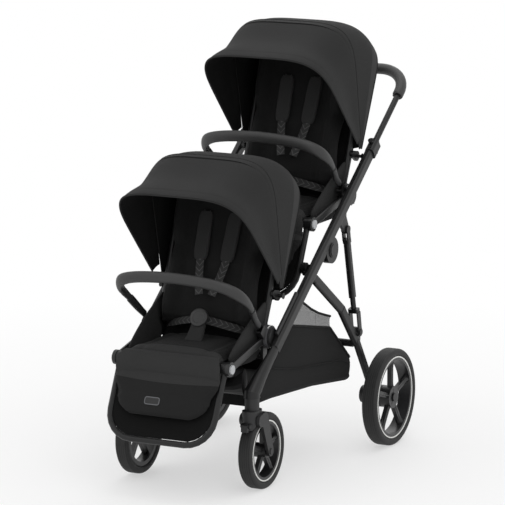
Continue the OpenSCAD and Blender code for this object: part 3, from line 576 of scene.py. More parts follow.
def webbing():
    """Strap webbing with a woven V pattern that runs down it; u is across and v is along."""
    f = Finish("strap_webbing")
    u, v, _ = f.axes(f.uv())
    fold = (v + abs(u) * 1.15).mod(0.0085)
    line = (fold < 0.0016) * (abs(u) < 0.0135)
    rib = (u * (2 * math.pi / 0.0012)).sin()
    f.set(Base_Color=f.mix(line, shade("141414"), shade("4c4c4c")), Roughness=0.6 + 0.1 * line,
          Normal=f.bump(0.7 * line + 0.3 * rib, 0.0005, 0.7))
    return f.material


def net():
    """Open mesh: small holes between threads, let through by the alpha."""
    f = Finish("open_mesh")
    u = f.along((0, 1, 0)) * (2 * math.pi / 0.0042)
    v = f.along((0.3, 0, 1)) * (2 * math.pi / 0.0042)
    hole = (u.sin() * v.sin()) > 0.12
    other = (u.sin() * v.sin()) < -0.12
    thread = 1 - (hole + other)
    f.set(Base_Color=f.mix(f.noise(40, 2), shade("1c1c1c"), shade("2c2c2c")), Roughness=0.7,
          Alpha=0.42 + 0.58 * thread, Normal=f.bump(thread, 0.0006, 0.6))
    return f.material


strap = webbing()
mesh_cloth = net()
print("finishes", len(bpy.data.materials))

# %% [markdown]
# ## Canopies
# A canopy is cloth over two bows and a stiff front rim, all of which turn about one pivot on each
# side. Each arch runs up the side, round a soft shoulder and over the top. The cloth is one sheet
# of such arches at growing angles. Between the bow and the rim it is pulled straight, so it dips
# a little at the shoulders, and it is gathered by a seam on the bow.

# %% Canopy arches


def canopy_reach(a):
    """Distance from the pivot to the top of the arch at angle a, in millimetres."""
    if a < 99:
        return 401 - 42 * ((99 - a) / 35) ** 3
    return 406 + 36 * ((a - 99) / 34.7) ** 1.15


def canopy_arch(a, half, reach, low, count=72, sides=9):
    """Points of one arch, each with its distance along the arch from -1 to 1."""
    d = np.array([math.cos(math.radians(a)), math.sin(math.radians(a))])
    flat = [(half, low + (205 - low) * k / sides, 0) for k in range(sides)]
    bent = []
    for k in range(count + 1):
        t = math.pi * k / count
        c, s = math.cos(t), math.sin(t)
        bent.append((math.copysign(half * abs(c) ** 0.47, c), 205 + (reach - 205) * max(s, 0) ** 0.47,
                     abs(math.sin(2 * t)) ** 2))
    row = flat + bent + [(-x, r, w) for x, r, w in reversed(flat)]
    return [(x, PIVOT + r * d, w) for x, r, w in row]


def canopy_sheet(name, angles, half, flare, low, thick, relief, outer, lining):
    """A sheet through arches; relief(a, w) lowers the cloth, in millimetres."""
    rows, uvs = [], []
    for a in angles:
        arch = canopy_arch(a, half + flare * max(0, a - 99) / 34.7, canopy_reach(a), low)
        row = []
        for x, p, w in arch:
            out = p - PIVOT
            length = np.linalg.norm(out)
            sunk = relief(a, w) * min(1.0, (length - low) / 120)
            q = PIVOT + out * (1 - sunk / length)
            row.append(in_seat(x * (1 - 0.25 * sunk / 200), q))
            uvs.append((math.atan2(x, length), a / 100))
        rows.append(row)
    count = len(rows[0])
    obj = mesh_piece(name, [p for r in rows for p in r], grid_faces(len(rows), count), outer)
    obj.data.materials.append(lining)
    only(obj)
    bpy.ops.object.mode_set(mode="EDIT")
    bpy.ops.mesh.select_all(action="SELECT")
    bpy.ops.mesh.normals_make_consistent(inside=False)
    bpy.ops.object.mode_set(mode="OBJECT")
    top = max(obj.data.polygons, key=lambda f: f.center.z)
    if top.normal.z < 0:
        obj.data.flip_normals()
    apply_modifier(obj, "SOLIDIFY", thickness=thick, offset=-1, material_offset=1, use_even_offset=True)
    return outward(obj)


def steps(first, last, count):
    return [first + (last - first) * k / count for k in range(count + 1)]


def rear_relief(a, w):
    """Dips between the bows, a binding on the rear edge and two rows of stitching."""
    sag = 3.0 * math.sin(math.pi * min(1, max(0, (a - 68) / 31))) * (1 - 0.5 * w)
    seam = 1.3 * dent(a, 72.5, 0.35) + 0.8 * dent(a, 74.2, 0.25) + 1.2 * dent(a, 98.0, 0.3)
    return float(sag + seam - 1.2 * (a < 67))


def front_relief(a, w):
    knee = 5.0 * dent(a, 122, 6.5) * w + 22.0 * math.sin(math.pi * min(1, max(0, (a - 101) / 32.7))) ** 1.3
    seam = 1.2 * dent(a, 103.0, 0.3) + 1.0 * dent(a, 129.6, 0.3) + 0.7 * dent(a, 130.6, 0.2)
    return float(knee + seam)


canopy_rear = canopy_sheet("front_canopy_rear_cloth", steps(64, 103, 60), 192.5, 0, 22, 0.0022,
                           rear_relief, rear_canopy_cloth("front"), canopy_lining)
canopy_front = canopy_sheet("front_canopy_front_cloth", steps(99, 133.7, 60), 198.5, 6, 60, 0.0022,
                            front_relief, canopy_cloth, canopy_lining)
print("canopy faces", len(canopy_rear.data.polygons), len(canopy_front.data.polygons))

# %% [markdown]
# The front rim is a stiff tape round a wire, so the edge is thicker than the cloth and perfectly
# even. A curve with a round bevel follows the last arch and becomes a mesh. The same way gives the
# piping on the seam over the bow.

# %% Rim and piping


def cord_along(name, points, radius, finish, closed=False, resolution=3):
    """A round bead along points in metres."""
    curve = bpy.data.curves.new(name, "CURVE")
    curve.dimensions = "3D"
    curve.bevel_depth = radius
    curve.bevel_resolution = resolution
    curve.use_fill_caps = True
    spline = curve.splines.new("POLY")
    spline.points.add(len(points) - 1)
    for p, q in zip(spline.points, points):
        p.co = (*q, 1)
    spline.use_cyclic_u = closed
    obj = bpy.data.objects.new(name, curve)
    bpy.context.scene.collection.objects.link(obj)
    only(obj)
    bpy.ops.object.convert(target="MESH")
    obj = bpy.context.object
    obj.data.materials.clear()
    obj.data.materials.append(finish)
    return outward(obj)


def arch_line(a, half, low, lift, count=72):
    """Points of an arch in metres, lifted off the cloth."""
    return [in_seat(x, PIVOT + (p - PIVOT) * (1 + lift / np.linalg.norm(p - PIVOT)))
            for x, p, w in canopy_arch(a, half, canopy_reach(a), low, count)]


rim = cord_along("front_canopy_rim", arch_line(133.2, 203.3, 62, -1.0), 0.0026, canopy_cloth)
bow_piping = cord_along("front_canopy_bow_piping", arch_line(99.4, 198.7, 62, 0.2), 0.0014, canopy_cloth)
rear_binding = cord_along("front_canopy_rear_binding", arch_line(64.6, 191.6, 24, -1.0), 0.0026, binding)
canopy_pieces = {"front_canopy_front_cloth": canopy_front, "front_canopy_rim": rim,
                 "front_canopy_bow_piping": bow_piping, "front_canopy_rear_cloth": canopy_rear,
                 "front_canopy_rear_binding": rear_binding}
print("rim length", round(sum(e for e in [(Vector(a) - Vector(b)).length for a, b in zip(
    arch_line(133.2, 196.6, 62, 0), arch_line(133.2, 196.6, 62, 0)[1:])]), 3))

# %% [markdown]
# ## Cushions
# Each cushion starts from the CAD model's soft form, which already has its crown, wings and the
# dents of its sewn channels. It is remeshed into even small faces, and a cloth simulation then
# blows it up a little, so it gets the slight tension and wrinkles of a filled cover. A cap keeps
# every point near where it started, so the cushion can't grow into the frame. Stitch lines are
# pressed in afterwards, because a remesh would wipe them out.

# %% Swelling a cushion


def cushion(name, node, finish, cap, seams, pressure=4.0, voxel=0.006):
    """A new cushion from a CAD soft form; seams(points) gives how far each point is pressed in."""
    data = nodes[node].data.copy()
    data.name = name
    obj = bpy.data.objects.new(name, data)
    bpy.context.scene.collection.objects.link(obj)
    data.materials.clear()
    data.materials.append(finish)
    only(obj)
    bpy.ops.object.mode_set(mode="EDIT")
    bpy.ops.mesh.select_all(action="SELECT")
    bpy.ops.mesh.remove_doubles(threshold=0.0001)
    bpy.ops.mesh.normals_make_consistent(inside=False)
    bpy.ops.object.mode_set(mode="OBJECT")
    data.remesh_voxel_size = voxel
    bpy.ops.object.voxel_remesh()
    start = np.array([v.co for v in data.vertices], float)
    cloth = obj.modifiers.new("cloth", "CLOTH")
    cloth.settings.use_pressure = True
    cloth.settings.uniform_pressure_force = pressure
    cloth.settings.effector_weights.gravity = 0
    cloth.settings.quality = 5
    cloth.settings.tension_stiffness = 40
    cloth.settings.bending_stiffness = 2
    for k in range(1, 15):
        scene.frame_set(k)
    evaluated = obj.evaluated_get(bpy.context.evaluated_depsgraph_get())
    swollen = np.array([v.co for v in evaluated.data.vertices], float)
    obj.modifiers.clear()
    scene.frame_set(1)
    move = swollen - start
    length = np.linalg.norm(move, axis=1, keepdims=True)
    start = start + move * np.minimum(1, cap / np.maximum(length, 1e-9))
    data.vertices.foreach_set("co", start.ravel())
    data.update()
    normals = np.array([v.normal for v in data.vertices], float)
    data.vertices.foreach_set("co", (start - normals * seams(start)[:, None]).ravel())
    data.update()
    apply_modifier(obj, "SUBSURF", levels=1, render_levels=1)
    bpy.ops.object.shade_smooth()
    return obj


def seat_axes(points, origin, direction, out):
    """Side-view coordinates of points along a piece and out of it, in millimetres."""
    hub = HUBS["front"]
    y = points[:, 1] * 1000 + MID_Y - hub[0] - origin[0]
    z = points[:, 2] * 1000 - hub[1] - origin[1]
    return points[:, 0] * 1000, y * direction[0] + z * direction[1], y * out[0] + z * out[1]


def seat_seams(points):
    x, s, out = seat_axes(points, (0, 0), (1, 0), (0, 1))
    top = smooth((out + 36) / 8)
    lines = 2.2 * dent(s, -196, 2.6) + 1.6 * dent(np.abs(x), 118, 2.6) * (s > -196) + 2.0 * dent(s, -60, 3)
    welt = 1.4 * dent(out, -30, 2.4)
    return (lines * top + welt) / 1000


def back_seams(points):
    x, s, out = seat_axes(points, (0, 0), BACK, BACK_OUT)
    front = smooth((-out - 12) / 10)
    lines = 2.4 * dent(np.abs(x), 86, 3) + 1.8 * dent(s, 255, 3) * (np.abs(x) < 86)
    lines = lines + 1.6 * dent(s, 392, 3) + 1.6 * dent(np.abs(x), 128, 3)
    return lines * front / 1000


def calf_seams(points):
    x, s, out = seat_axes(points, KNEE, CALF, CALF_OUT)
    front = smooth((out - 14) / 6)
    curve = 66 - 10 * (np.abs(x) / 150) ** 2
    lines = 2.0 * dent(s, curve, 2.4) + 1.4 * dent(s, curve + 7, 1.8) * 0.5
    return lines * front / 1000


seat_cushion = cushion("front_seat_cushion", "front_seat_pad", seat_cloth("front"), 0.005, seat_seams)
back_cushion = cushion("front_back_cushion", "front_back_pad", back_cloth, 0.006, back_seams)
leg_cushion = cushion("front_leg_panel", "front_calf_pad", leg_cloth("front"), 0.004, calf_seams)


def draw_up(obj, seam, end, low):
    """The leg panel's cloth ends above the frame's bend, so points below the seam are drawn up."""
    points = np.array([v.co for v in obj.data.vertices], float)
    _, s, _ = seat_axes(points, KNEE, CALF, CALF_OUT)
    up = np.maximum(0, s - seam) * (1 - (low - seam) / (end - seam)) / 1000
    points[:, 1] -= up * CALF[0]
    points[:, 2] -= up * CALF[1]
    obj.data.vertices.foreach_set("co", points.ravel())
    obj.data.update()


draw_up(leg_cushion, 60, 212, 162)
print("cushion faces", [len(o.data.polygons) for o in (seat_cushion, back_cushion, leg_cushion)])

# %% [markdown]
# The seat's side panels stand between the cushion and the frame. On the real seat they are one
# layer of cloth with foam behind, sewn to the cushion and stretched to the backrest. Each is a
# flat outline with a soft edge, thickened and rounded by modifiers.

# %% Side panels


def panel(name, outline, x, thick, finish, lean=0.0):
    """A padded side panel from its outline in the seat's side view."""
    obj = mesh_piece(name, [in_seat(x + lean * p[1], p) for p in outline], [list(range(len(outline)))], finish)
    only(obj)
    bpy.ops.object.mode_set(mode="EDIT")
    bpy.ops.mesh.select_all(action="SELECT")
    bpy.ops.mesh.inset(thickness=0.006, use_even_offset=True)
    bpy.ops.mesh.inset(thickness=0.010, use_even_offset=True)
    bpy.ops.object.mode_set(mode="OBJECT")
    if obj.data.polygons[0].normal.x < 0:
        obj.data.flip_normals()
    inner = [v for v in obj.data.vertices][len(outline):]
    for v in inner[len(outline):]:
        v.co.x += 0.002
    apply_modifier(obj, "SOLIDIFY", thickness=thick, offset=0)
    apply_modifier(obj, "SUBSURF", levels=2, render_levels=2)
    return outward(obj)


SIDE_OUTLINE = [(-214, -36), (-150, -62), (-60, -66), (-12, -60), (-4, -20), (6, 30), (30, 98), (10, 96),
                (-30, 74), (-72, 56), (-120, 30), (-170, -2)]
side_panels = {}
for side, s in (("left", 1), ("right", -1)):
    name = f"front_side_panel_{side}"
    piece = panel(name, SIDE_OUTLINE, 160.0, 0.007, side_cloth, lean=0.04)
    if s < 0:
        piece.data.transform(Matrix.Scale(-1, 4, (1, 0, 0)))
        outward(piece)
    side_panels[name] = piece
print("side panels", list(side_panels))

# %% [markdown]
# Three more cloths close the seat. One hangs in the canopy's rear arch behind the backrest. One
# runs from the cushion up to the backrest's foot, and one goes over the knee bar to the leg rest;
# these two cross a joint, so they are grids with enough rows to bend evenly.

# %% Closing cloths


def arch_half(r, reach, half):
    """Half the width of a canopy arch at distance r from the pivot."""
    if r <= 205:
        return half
    s = ((r - 205) / (reach - 205)) ** (1 / 0.47)
    return half * max(0.0, 1 - s * s) ** 0.235


def cloth_between(name, path, halves, columns, finish, thick=0.0018, bulge=None):
    """A sheet across the stroller along side-view points of the front seat."""
    rows = []
    for k, (p, half) in enumerate(zip(path, halves)):
        for i in range(columns + 1):
            u = 2 * i / columns - 1
            shift = bulge(u, k / (len(path) - 1)) if bulge else np.zeros(2)
            rows.append(in_seat(u * half, np.array(p) + shift))
    obj = mesh_piece(name, rows, grid_faces(len(path), columns + 1), finish)
    apply_modifier(obj, "SOLIDIFY", thickness=thick, offset=0)
    return outward(obj)


CURTAIN = np.array([math.cos(math.radians(65.2)), math.sin(math.radians(65.2))])
reaches = steps(-92, 22, 14) + steps(28, 205, 14) + steps(210, 357.0, 26)
widths = [166.0 if r < 24 else arch_half(r, 358.5, 189.5) for r in reaches]
curtain = cloth_between("front_back_curtain", [PIVOT + r * CURTAIN for r in reaches], widths, 40, canopy_lining,
                        bulge=lambda u, v: -5 * BACK_OUT * (1 - u * u) * math.sin(math.pi * v) ** 2)
waist_path = smooth_line([(27, 39, 0), (31, 16, 0), (29, -12, 0), (22, -32, 0), (12, -40, 0)], 20)[:, :2]
waist = cloth_between("front_waist_cloth", waist_path, [168] * 21, 24, back_cloth)
knee_path = smooth_line([(-236, -19, 0), (-249, -23, 0), (-260, -36, 0), (-266, -52, 0), (-267.5, -68, 0),
                         (-264, -84, 0)], 24)[:, :2]
knee_cloth = cloth_between("front_knee_cloth", knee_path, [150 + 15 * smooth(k / 14) for k in range(25)], 30,
                           panel_cloth, bulge=lambda u, v: CALF_OUT * (-5.0 * u ** 6))
print("closing cloths", len(curtain.data.polygons), len(waist.data.polygons), len(knee_cloth.data.polygons))

# %% [markdown]
# ## Harness
# Two shoulder straps come out of the backrest under soft sleeves and run down to a round buckle
# cover; two waist straps run from the buckle to the sides, and a padded crotch piece comes up from
# the seat. Straps are flat ribbons laid along a smooth line. The webbing's V pattern follows the
# ribbon's own map, u across and v along, in metres.

# %% Straps


def ribbon(name, points, facing, width, thick, finish, count=36, edge=0.25):
    """A flat strap along points in metres; facing is the side that it shows."""
    line = smooth_line(points, count)
    tangents = np.gradient(line, axis=0)
    tangents /= np.linalg.norm(tangents, axis=1, keepdims=True)
    facing = np.array(facing, float)
    length = np.concatenate([[0], np.cumsum(np.linalg.norm(np.diff(line, axis=0), axis=1))])
    widths = width if callable(width) else (lambda t: width)
    profile = [(-1, -edge), (-1, edge), (-0.86, 1), (-0.4, 1), (0, 1), (0.4, 1), (0.86, 1), (1, edge),
               (1, -edge), (0.86, -1), (0.4, -1), (0, -1), (-0.4, -1), (-0.86, -1)]
    rows, uvs = [], []
    for k, (p, t) in enumerate(zip(line, tangents)):
        across = np.cross(t, facing)
        across /= np.linalg.norm(across)
        up = np.cross(across, t)
        w = widths(k / count) / 2
        for u, h in profile:
            rows.append(p + across * u * w + up * h * thick / 2)
            uvs.append((u * w, length[k]))
    n = len(profile)
    faces = grid_faces(count + 1, n, closed=True)
    faces += [list(range(n))[::-1], [count * n + i for i in range(n)]]
    return outward(mesh_piece(name, rows, faces, finish, uvs))


FORWARD = (0, -BACK_OUT[0], -BACK_OUT[1])
harness = {}
for side, s in (("left", 1), ("right", -1)):
    harness[f"front_shoulder_strap_{side}"] = ribbon(
        f"front_shoulder_strap_{side}",
        [on_back(s * 47, 360, 34), on_back(s * 47, 330, 46), on_back(s * 45, 260, 50),
         on_back(s * 42, 200, 54), on_back(s * 32, 140, 62), on_back(s * 20, 92, 70)],
        FORWARD, 0.025, 0.0022, strap, 60)
    harness[f"front_shoulder_sleeve_{side}"] = ribbon(
        f"front_shoulder_sleeve_{side}",
        [on_back(s * 47, 336, 46), on_back(s * 46, 300, 49), on_back(s * 44, 240, 51.5), on_back(s * 42, 196, 54)],
        FORWARD, lambda t: 0.044 - 0.012 * abs(2 * t - 1) ** 6, 0.011, panel_cloth, 28, edge=0.5)
    harness[f"front_waist_strap_{side}"] = ribbon(
        f"front_waist_strap_{side}",
        [in_seat(s * 16, (-58, 44)), in_seat(s * 60, (-50, 34)), in_seat(s * 100, (-34, 22)),
         in_seat(s * 128, (-12, 12))],
        (0, -0.75, 0.66), 0.025, 0.0022, strap, 40)
crotch = ribbon("front_crotch_pad",
                [in_seat(0, (-112, -11)), in_seat(0, (-100, -2)), in_seat(0, (-84, 16)), in_seat(0, (-72, 34))],
                (0, -0.86, 0.5), lambda t: 0.056 - 0.014 * t, 0.012, panel_cloth, 24, edge=0.5)
print("straps", len(harness))

# %% [markdown]
# The buckle's cover is a round cushion of leather look over moulded plastic, about as wide as a
# biscuit. A cylinder is inset and raised in steps, its edge is bevelled, and it leans back with
# the crotch pad.

# %% Buckle


def turned_disc(name, centre, normal, radius, height, finish, rings, segments=48):
    """A disc whose face steps in and out: rings is a list of (inset, rise) in metres."""
    only(bpy.context.scene.camera)
    bpy.ops.object.select_all(action="DESELECT")
    bpy.ops.mesh.primitive_cylinder_add(vertices=segments, radius=radius, depth=height)
    obj = bpy.context.object
    obj.name = name
    obj.data.name = name
    bpy.ops.object.mode_set(mode="EDIT")
    bpy.ops.mesh.select_all(action="DESELECT")
    bpy.ops.object.mode_set(mode="OBJECT")
    top = max(obj.data.polygons, key=lambda f: f.center.z)
    top.select = True
    bpy.ops.object.mode_set(mode="EDIT")
    bpy.ops.mesh.select_mode(type="FACE")
    for inset, rise in rings:
        bpy.ops.mesh.inset(thickness=inset)
        if rise:
            bpy.ops.transform.translate(value=(0, 0, rise))
    bpy.ops.object.mode_set(mode="OBJECT")
    apply_modifier(obj, "BEVEL", width=min(height, radius) * 0.18, segments=3, limit_method="ANGLE")
    turn = Vector((0, 0, 1)).rotation_difference(Vector(normal)).to_matrix().to_4x4()
    obj.data.transform(Matrix.Translation(centre) @ turn)
    obj.data.materials.clear()
    obj.data.materials.append(finish)
    return outward(obj)


LEAN = (0, -math.sin(math.radians(62)), math.cos(math.radians(62)))
buckle_cover = turned_disc("front_buckle_cover", in_seat(0, (-69, 50)), LEAN, 0.027, 0.014, hide,
                           [(0.003, 0.0012), (0.006, 0.001), (0.001, -0.0012), (0.006, 0.0006)])
print("buckle cover", buckle_cover.dimensions[:])

# %% [markdown]
# ## Leg rest
# The leg rest's cloth runs from the seat over a curved seam to a darker lower panel, and its lower
# end is a pocket between the cloth and the tube's bend. The pocket is a hanging strip: its sides
# follow the tube and its middle sags.

# %% Pocket


def calf_point(x, s, out):
    return in_seat(x, KNEE + s * CALF + out * CALF_OUT)


def calf_half(s):
    """Half the clear width between the tubes, which close in a bend at the bottom."""
    if s < 148:
        return 156.0
    k = min(1.0, (s - 148) / 72)
    return 76 + 80 * math.sqrt(max(0, 1 - k * k))


rows = []
for j in range(25):
    s = 34 + 184 * j / 24
    half = calf_half(s) + 1
    for i in range(25):
        u = 2 * i / 24 - 1
        rows.append(calf_point(u * half, s, 2 - 9 * (1 - u * u) * math.sin(math.pi * min(1, j / 22))))
pocket = mesh_piece("front_leg_pocket", rows, grid_faces(25, 25), pocket_cloth)
apply_modifier(pocket, "SOLIDIFY", thickness=0.0015, offset=0)
outward(pocket)
label_line = [(-50, -11.5), (-2, -11.5), (-2, 11.5), (-50, 11.5)]
start = Vector(calf_point(-26, 119, 80))
hit = leg_cushion.ray_cast(start, Vector((0, -CALF_OUT[0], -CALF_OUT[1])))[1]
patch_out = 80 - 1000 * (hit - start).length
patch = mesh_piece("front_leg_patch", [calf_point(x, 119 + s, patch_out + 0.8) for x, s in label_line],
                   [(0, 1, 2, 3)], dark_plastic)
only(patch)
bpy.ops.object.mode_set(mode="EDIT")
bpy.ops.mesh.select_all(action="SELECT")
bpy.ops.mesh.bevel(offset=0.007, segments=5, affect="VERTICES")
bpy.ops.mesh.inset(thickness=0.0026)
bpy.ops.object.mode_set(mode="OBJECT")
patch.data.materials.append(mid_grey)
inner = max(patch.data.polygons, key=lambda f: f.area)
for f in patch.data.polygons:
    f.material_index = int(f.index != inner.index)
apply_modifier(patch, "SOLIDIFY", thickness=0.0014, offset=0)
outward(patch)
print("pocket", len(pocket.data.polygons), "patch", len(patch.data.polygons))

# %% [markdown]
# ## Bumper bar and grip
# Both are foam under leather look, closed by a stitched seam on the inner side, with a moulded
# end at each side. The bar is thickest in the middle and slims towards its ends. Rings of points
# along a smooth line give the form.

# %% Bars


def bar(name, line, size, finish, sides=24):
    """A bar of oval rings; size(t) gives its height and depth in metres at t from 0 to 1."""
    tangents = np.gradient(line, axis=0)
    tangents /= np.linalg.norm(tangents, axis=1, keepdims=True)
    count = len(line) - 1
    rows = []
    for k, (p, t) in enumerate(zip(line, tangents)):
        a = np.cross(t, np.array((0, -0.2, 1.0)))
        a /= np.linalg.norm(a)
        b = np.cross(t, a)
        high, deep = size(k / count)
        for j in range(sides):
            v = 2 * math.pi * j / sides
            rows.append(p + a * deep / 2 * math.cos(v) + b * high / 2 * math.sin(v))
    faces = grid_faces(count + 1, sides, closed=True)
    faces += [list(range(sides))[::-1], [count * sides + i for i in range(sides)]]
    return outward(mesh_piece(name, rows, faces, finish))


half_path = [(184, -60, 44), (187, -88, 66), (196, -128, 104), (199, -158, 128), (193, -188, 150),
             (176, -211, 168), (150, -224, 180), (110, -231, 188), (55, -235, 193), (0, -236.5, 195)]
bumper_line = smooth_line([in_seat(x, (y, z)) for x, y, z in half_path]
                          + [in_seat(-x, (y, z)) for x, y, z in half_path[-2::-1]], 144)


def bumper_size(t):
    end = min(t, 1 - t) * 18
    f = float(smooth((end - 1) / 4))
    notch = 0.0014 * float(dent(end, 3.0, 0.12))
    return (0.018 + 0.0158 * f - notch, 0.013 + 0.0088 * f - notch)


bumper = bar("front_bumper_cover", bumper_line, bumper_size, hide)
bumper_ends = {}
for side, s in (("left", 1), ("right", -1)):
    part = bumper_line[:16] if s > 0 else bumper_line[-16:]
    bumper_ends[f"front_bumper_end_{side}"] = bar(
        f"front_bumper_end_{side}", part,
        lambda t, s=s: (0.0205 + 0.004 * float(smooth(t if s > 0 else 1 - t)),
                        0.0153 + 0.003 * float(smooth(t if s > 0 else 1 - t))), plastic)


def handle_line(first, count=84):
    """The handle's middle line from s = first on the left to the same on the right."""
    s_top, bend = 1135.0, 92.0
    c = TUBE_FOOT + (s_top - bend) * UP
    pts = []
    for k in range(8):
        p = TUBE_FOOT + (first + (s_top - bend - first) * k / 8) * UP
        pts.append(place(212, *p))
    for k in range(13):
        v = math.radians(90 * k / 12)
        p = c + bend * math.sin(v) * UP
        pts.append(place(120 + bend * math.cos(v), *p))
    pts += [place(x, *(TUBE_FOOT + s_top * UP)) for x in (90, 60, 30, 0)]
    return np.array(pts + [(-x, y, z) for x, y, z in pts[-2::-1]])


grip_line = handle_line(1026)


def grip_size(t):
    end = min(t, 1 - t) * 40
    d = 0.0288 + 0.0042 * float(smooth(end / 1.6)) - 0.0012 * float(dent(end, 2.2, 0.3))
    return (d, d)


grip = bar("handle_grip_cover", grip_line, grip_size, hide, sides=28)
grip_ends = [cord_along(f"handle_grip_ring_{k}", [tuple(p) for p in (line[0] - (line[1] - line[0]) * 0.2, line[1])],
                        0.0155, plastic) for k, line in enumerate((grip_line[:2], grip_line[-1:-3:-1]))]
print("bars", len(bumper.data.polygons), len(grip.data.polygons))

# %% [markdown]
# ## Basket
# The basket is cloth that hangs between the tubes and the rear legs: a firm floor, sides that
# bulge slightly, a bound upper edge that sags, and an open-mesh upper part. It is one sheet round
# the floor from edge to edge, closed by a front and a rear wall. The rear part creases when the
# chassis folds, so the sheet is cut in two at the place where the CAD model cuts it.

# %% Basket
BASKET_TOP = [(-52, 300), (40, 340), (105, 392), (182, 430), (441, 375), (578, 258)]
BASKET_LOW = [(-52, 236), (75, 233), (345, 214), (570, 186)]
SEAM = [(-52, 262), (36, 334), (60, 328), (138, 310), (236, 293), (504, 263.5), (578, 240)]
NET_TOP = [(190, 508), (230, 497), (263, 480), (313, 453), (360, 433), (407, 418), (441, 408)]


def level(points, y):
    ys, zs = zip(*points)
    return float(np.interp(y, ys, zs))


def basket_section(y, count=9):
    """Points of the basket's cloth at one place along it, from the left edge to the right."""
    top, low = level(BASKET_TOP, y), level(BASKET_LOW, min(y, 570))
    deep = top - low
    side = []
    for k in range(count + 1):
        t = k / count
        bulge = 3.0 * math.sin(math.pi * t) - 2.2
        side.append((183.5 + bulge, top - (deep - 22) * t))
    corner = [(161.5 + 22 * math.cos(v) + 0.8, low + 22 - 22 * math.sin(v))
              for v in (math.pi / 2 * k / 4 for k in range(1, 5))]
    floor = [(x, low + 1.5 - 2.5 * math.cos(math.pi * x / 320)) for x in (120, 80, 40, 0)]
    half = side + corner + floor
    return half + [(-x, z) for x, z in half[-2::-1]]


def basket_part(name, y0, y1, count, finish):
    ys = steps(y0, y1, count)
    rows = [basket_section(y) for y in ys]
    n = len(rows[0])
    obj = mesh_piece(name, [place(x, y, z) for y, r in zip(ys, rows) for x, z in r],
                     grid_faces(len(rows), n), finish)
    return obj, ys, rows


def close_wall(obj, ys, rows, end, finish):
    """A wall across the basket's first or last section."""
    y, row = (ys[0], rows[0]) if end == "front" else (ys[-1], rows[-1])
    bm = bmesh.new()
    bm.from_mesh(obj.data)
    bm.verts.ensure_lookup_table()
    n = len(row)
    offset = 0 if end == "front" else (len(rows) - 1) * n
    ring = [bm.verts[offset + i] for i in range(n)]
    for i in range(n // 2):
        quad = [ring[i], ring[i + 1], ring[n - 2 - i], ring[n - 1 - i]]
        if len(set(quad)) == 4:
            bm.faces.new(quad)
        elif len(set(quad)) == 3:
            bm.faces.new(list(dict.fromkeys(quad)))
    bm.to_mesh(obj.data)
    bm.free()


basket_front, ys, rows = basket_part("basket_front_cloth", -51, 344.9, 60, basket_cloth)
close_wall(basket_front, ys, rows, "front", basket_cloth)
basket_back, ys_r, rows_r = basket_part("basket_rear_cloth", 345.1, 576, 40, basket_cloth)
close_wall(basket_back, ys_r, rows_r, "rear", basket_cloth)
for obj in (basket_front, basket_back):
    apply_modifier(obj, "SOLIDIFY", thickness=0.0022, offset=-1)
    outward(obj)
print("basket faces", len(basket_front.data.polygons), len(basket_back.data.polygons))


def edge_tape(name, y0, y1, lift, finish, radius=0.0042):
    out = []
    for s in (1, -1):
        pts = [place(s * 181.5, y, level(BASKET_TOP, y) + lift) for y in steps(y0, y1, 40)]
        out.append(cord_along(f"{name}_{'left' if s > 0 else 'right'}", pts, radius, finish))
    return out


basket_tapes = edge_tape("basket_binding", -50, 344.9, -1.5, binding)
basket_rear_tapes = edge_tape("basket_rear_binding", 345.1, 575, -1.5, binding)


def side_x(y, z):
    """How far out the basket's side stands at one height."""
    top, low = level(BASKET_TOP, y), level(BASKET_LOW, y)
    return 181.3 + 3.0 * math.sin(math.pi * min(1, max(0, (top - z) / (top - low - 22))))


def side_piping(name, y0, y1):
    return [cord_along(f"{name}_{side}", [place(s * (side_x(y, level(SEAM, y)) + 1.6), y, level(SEAM, y))
                                          for y in steps(y0, y1, 40)], 0.0018, binding)
            for side, s in (("left", 1), ("right", -1))]


piping = side_piping("basket_piping", 36, 344.9)
rear_piping = side_piping("basket_rear_piping", 345.1, 570)
print("basket trim", len(basket_tapes) + len(basket_rear_tapes) + len(piping) + len(rear_piping))

# %% [markdown]
# Above the solid sides a strip of light open mesh reaches up to a dark binding, which hangs in a
# slack line from the main tube to the rear leg. Two short tabs hold the front of the basket.

# %% Net strips and tabs


def net_strip(name, y0, y1, side):
    """The open mesh of one side between two places along the basket, and its binding."""
    ys = steps(y0, y1, 24)
    rows = []
    for j in range(9):
        for y in ys:
            low, top = level(BASKET_TOP, y) - 2, level(NET_TOP, y)
            rows.append(place(side * (183.5 - 2.5 * math.sin(math.pi * j / 8)), y, low + (top - low) * j / 8))
    sheet_obj = mesh_piece(name, rows, grid_faces(9, len(ys)), mesh_cloth)
    apply_modifier(sheet_obj, "SOLIDIFY", thickness=0.0008, offset=0)
    tape = cord_along(f"{name}_binding", [place(side * 183.5, y, level(NET_TOP, y)) for y in ys], 0.0036, binding)
    return [outward(sheet_obj), tape]


net_front, net_rear, tabs = [], [], []
for side, s in (("left", 1), ("right", -1)):
    net_front += net_strip(f"basket_net_{side}", 192, 344.9, s)
    net_rear += net_strip(f"basket_rear_net_{side}", 345.1, 440, s)
    tabs.append(ribbon(f"basket_tab_{side}", [place(s * 184.5, 105, 372), place(s * 187, 105, 398),
                                              place(s * 194, 105, 422), place(s * 200, 105, 446)],
                       (s, 0, 0.3), 0.02, 0.0022, basket_cloth, 20))
print("net pieces", len(net_front) + len(net_rear), "tabs", len(tabs))
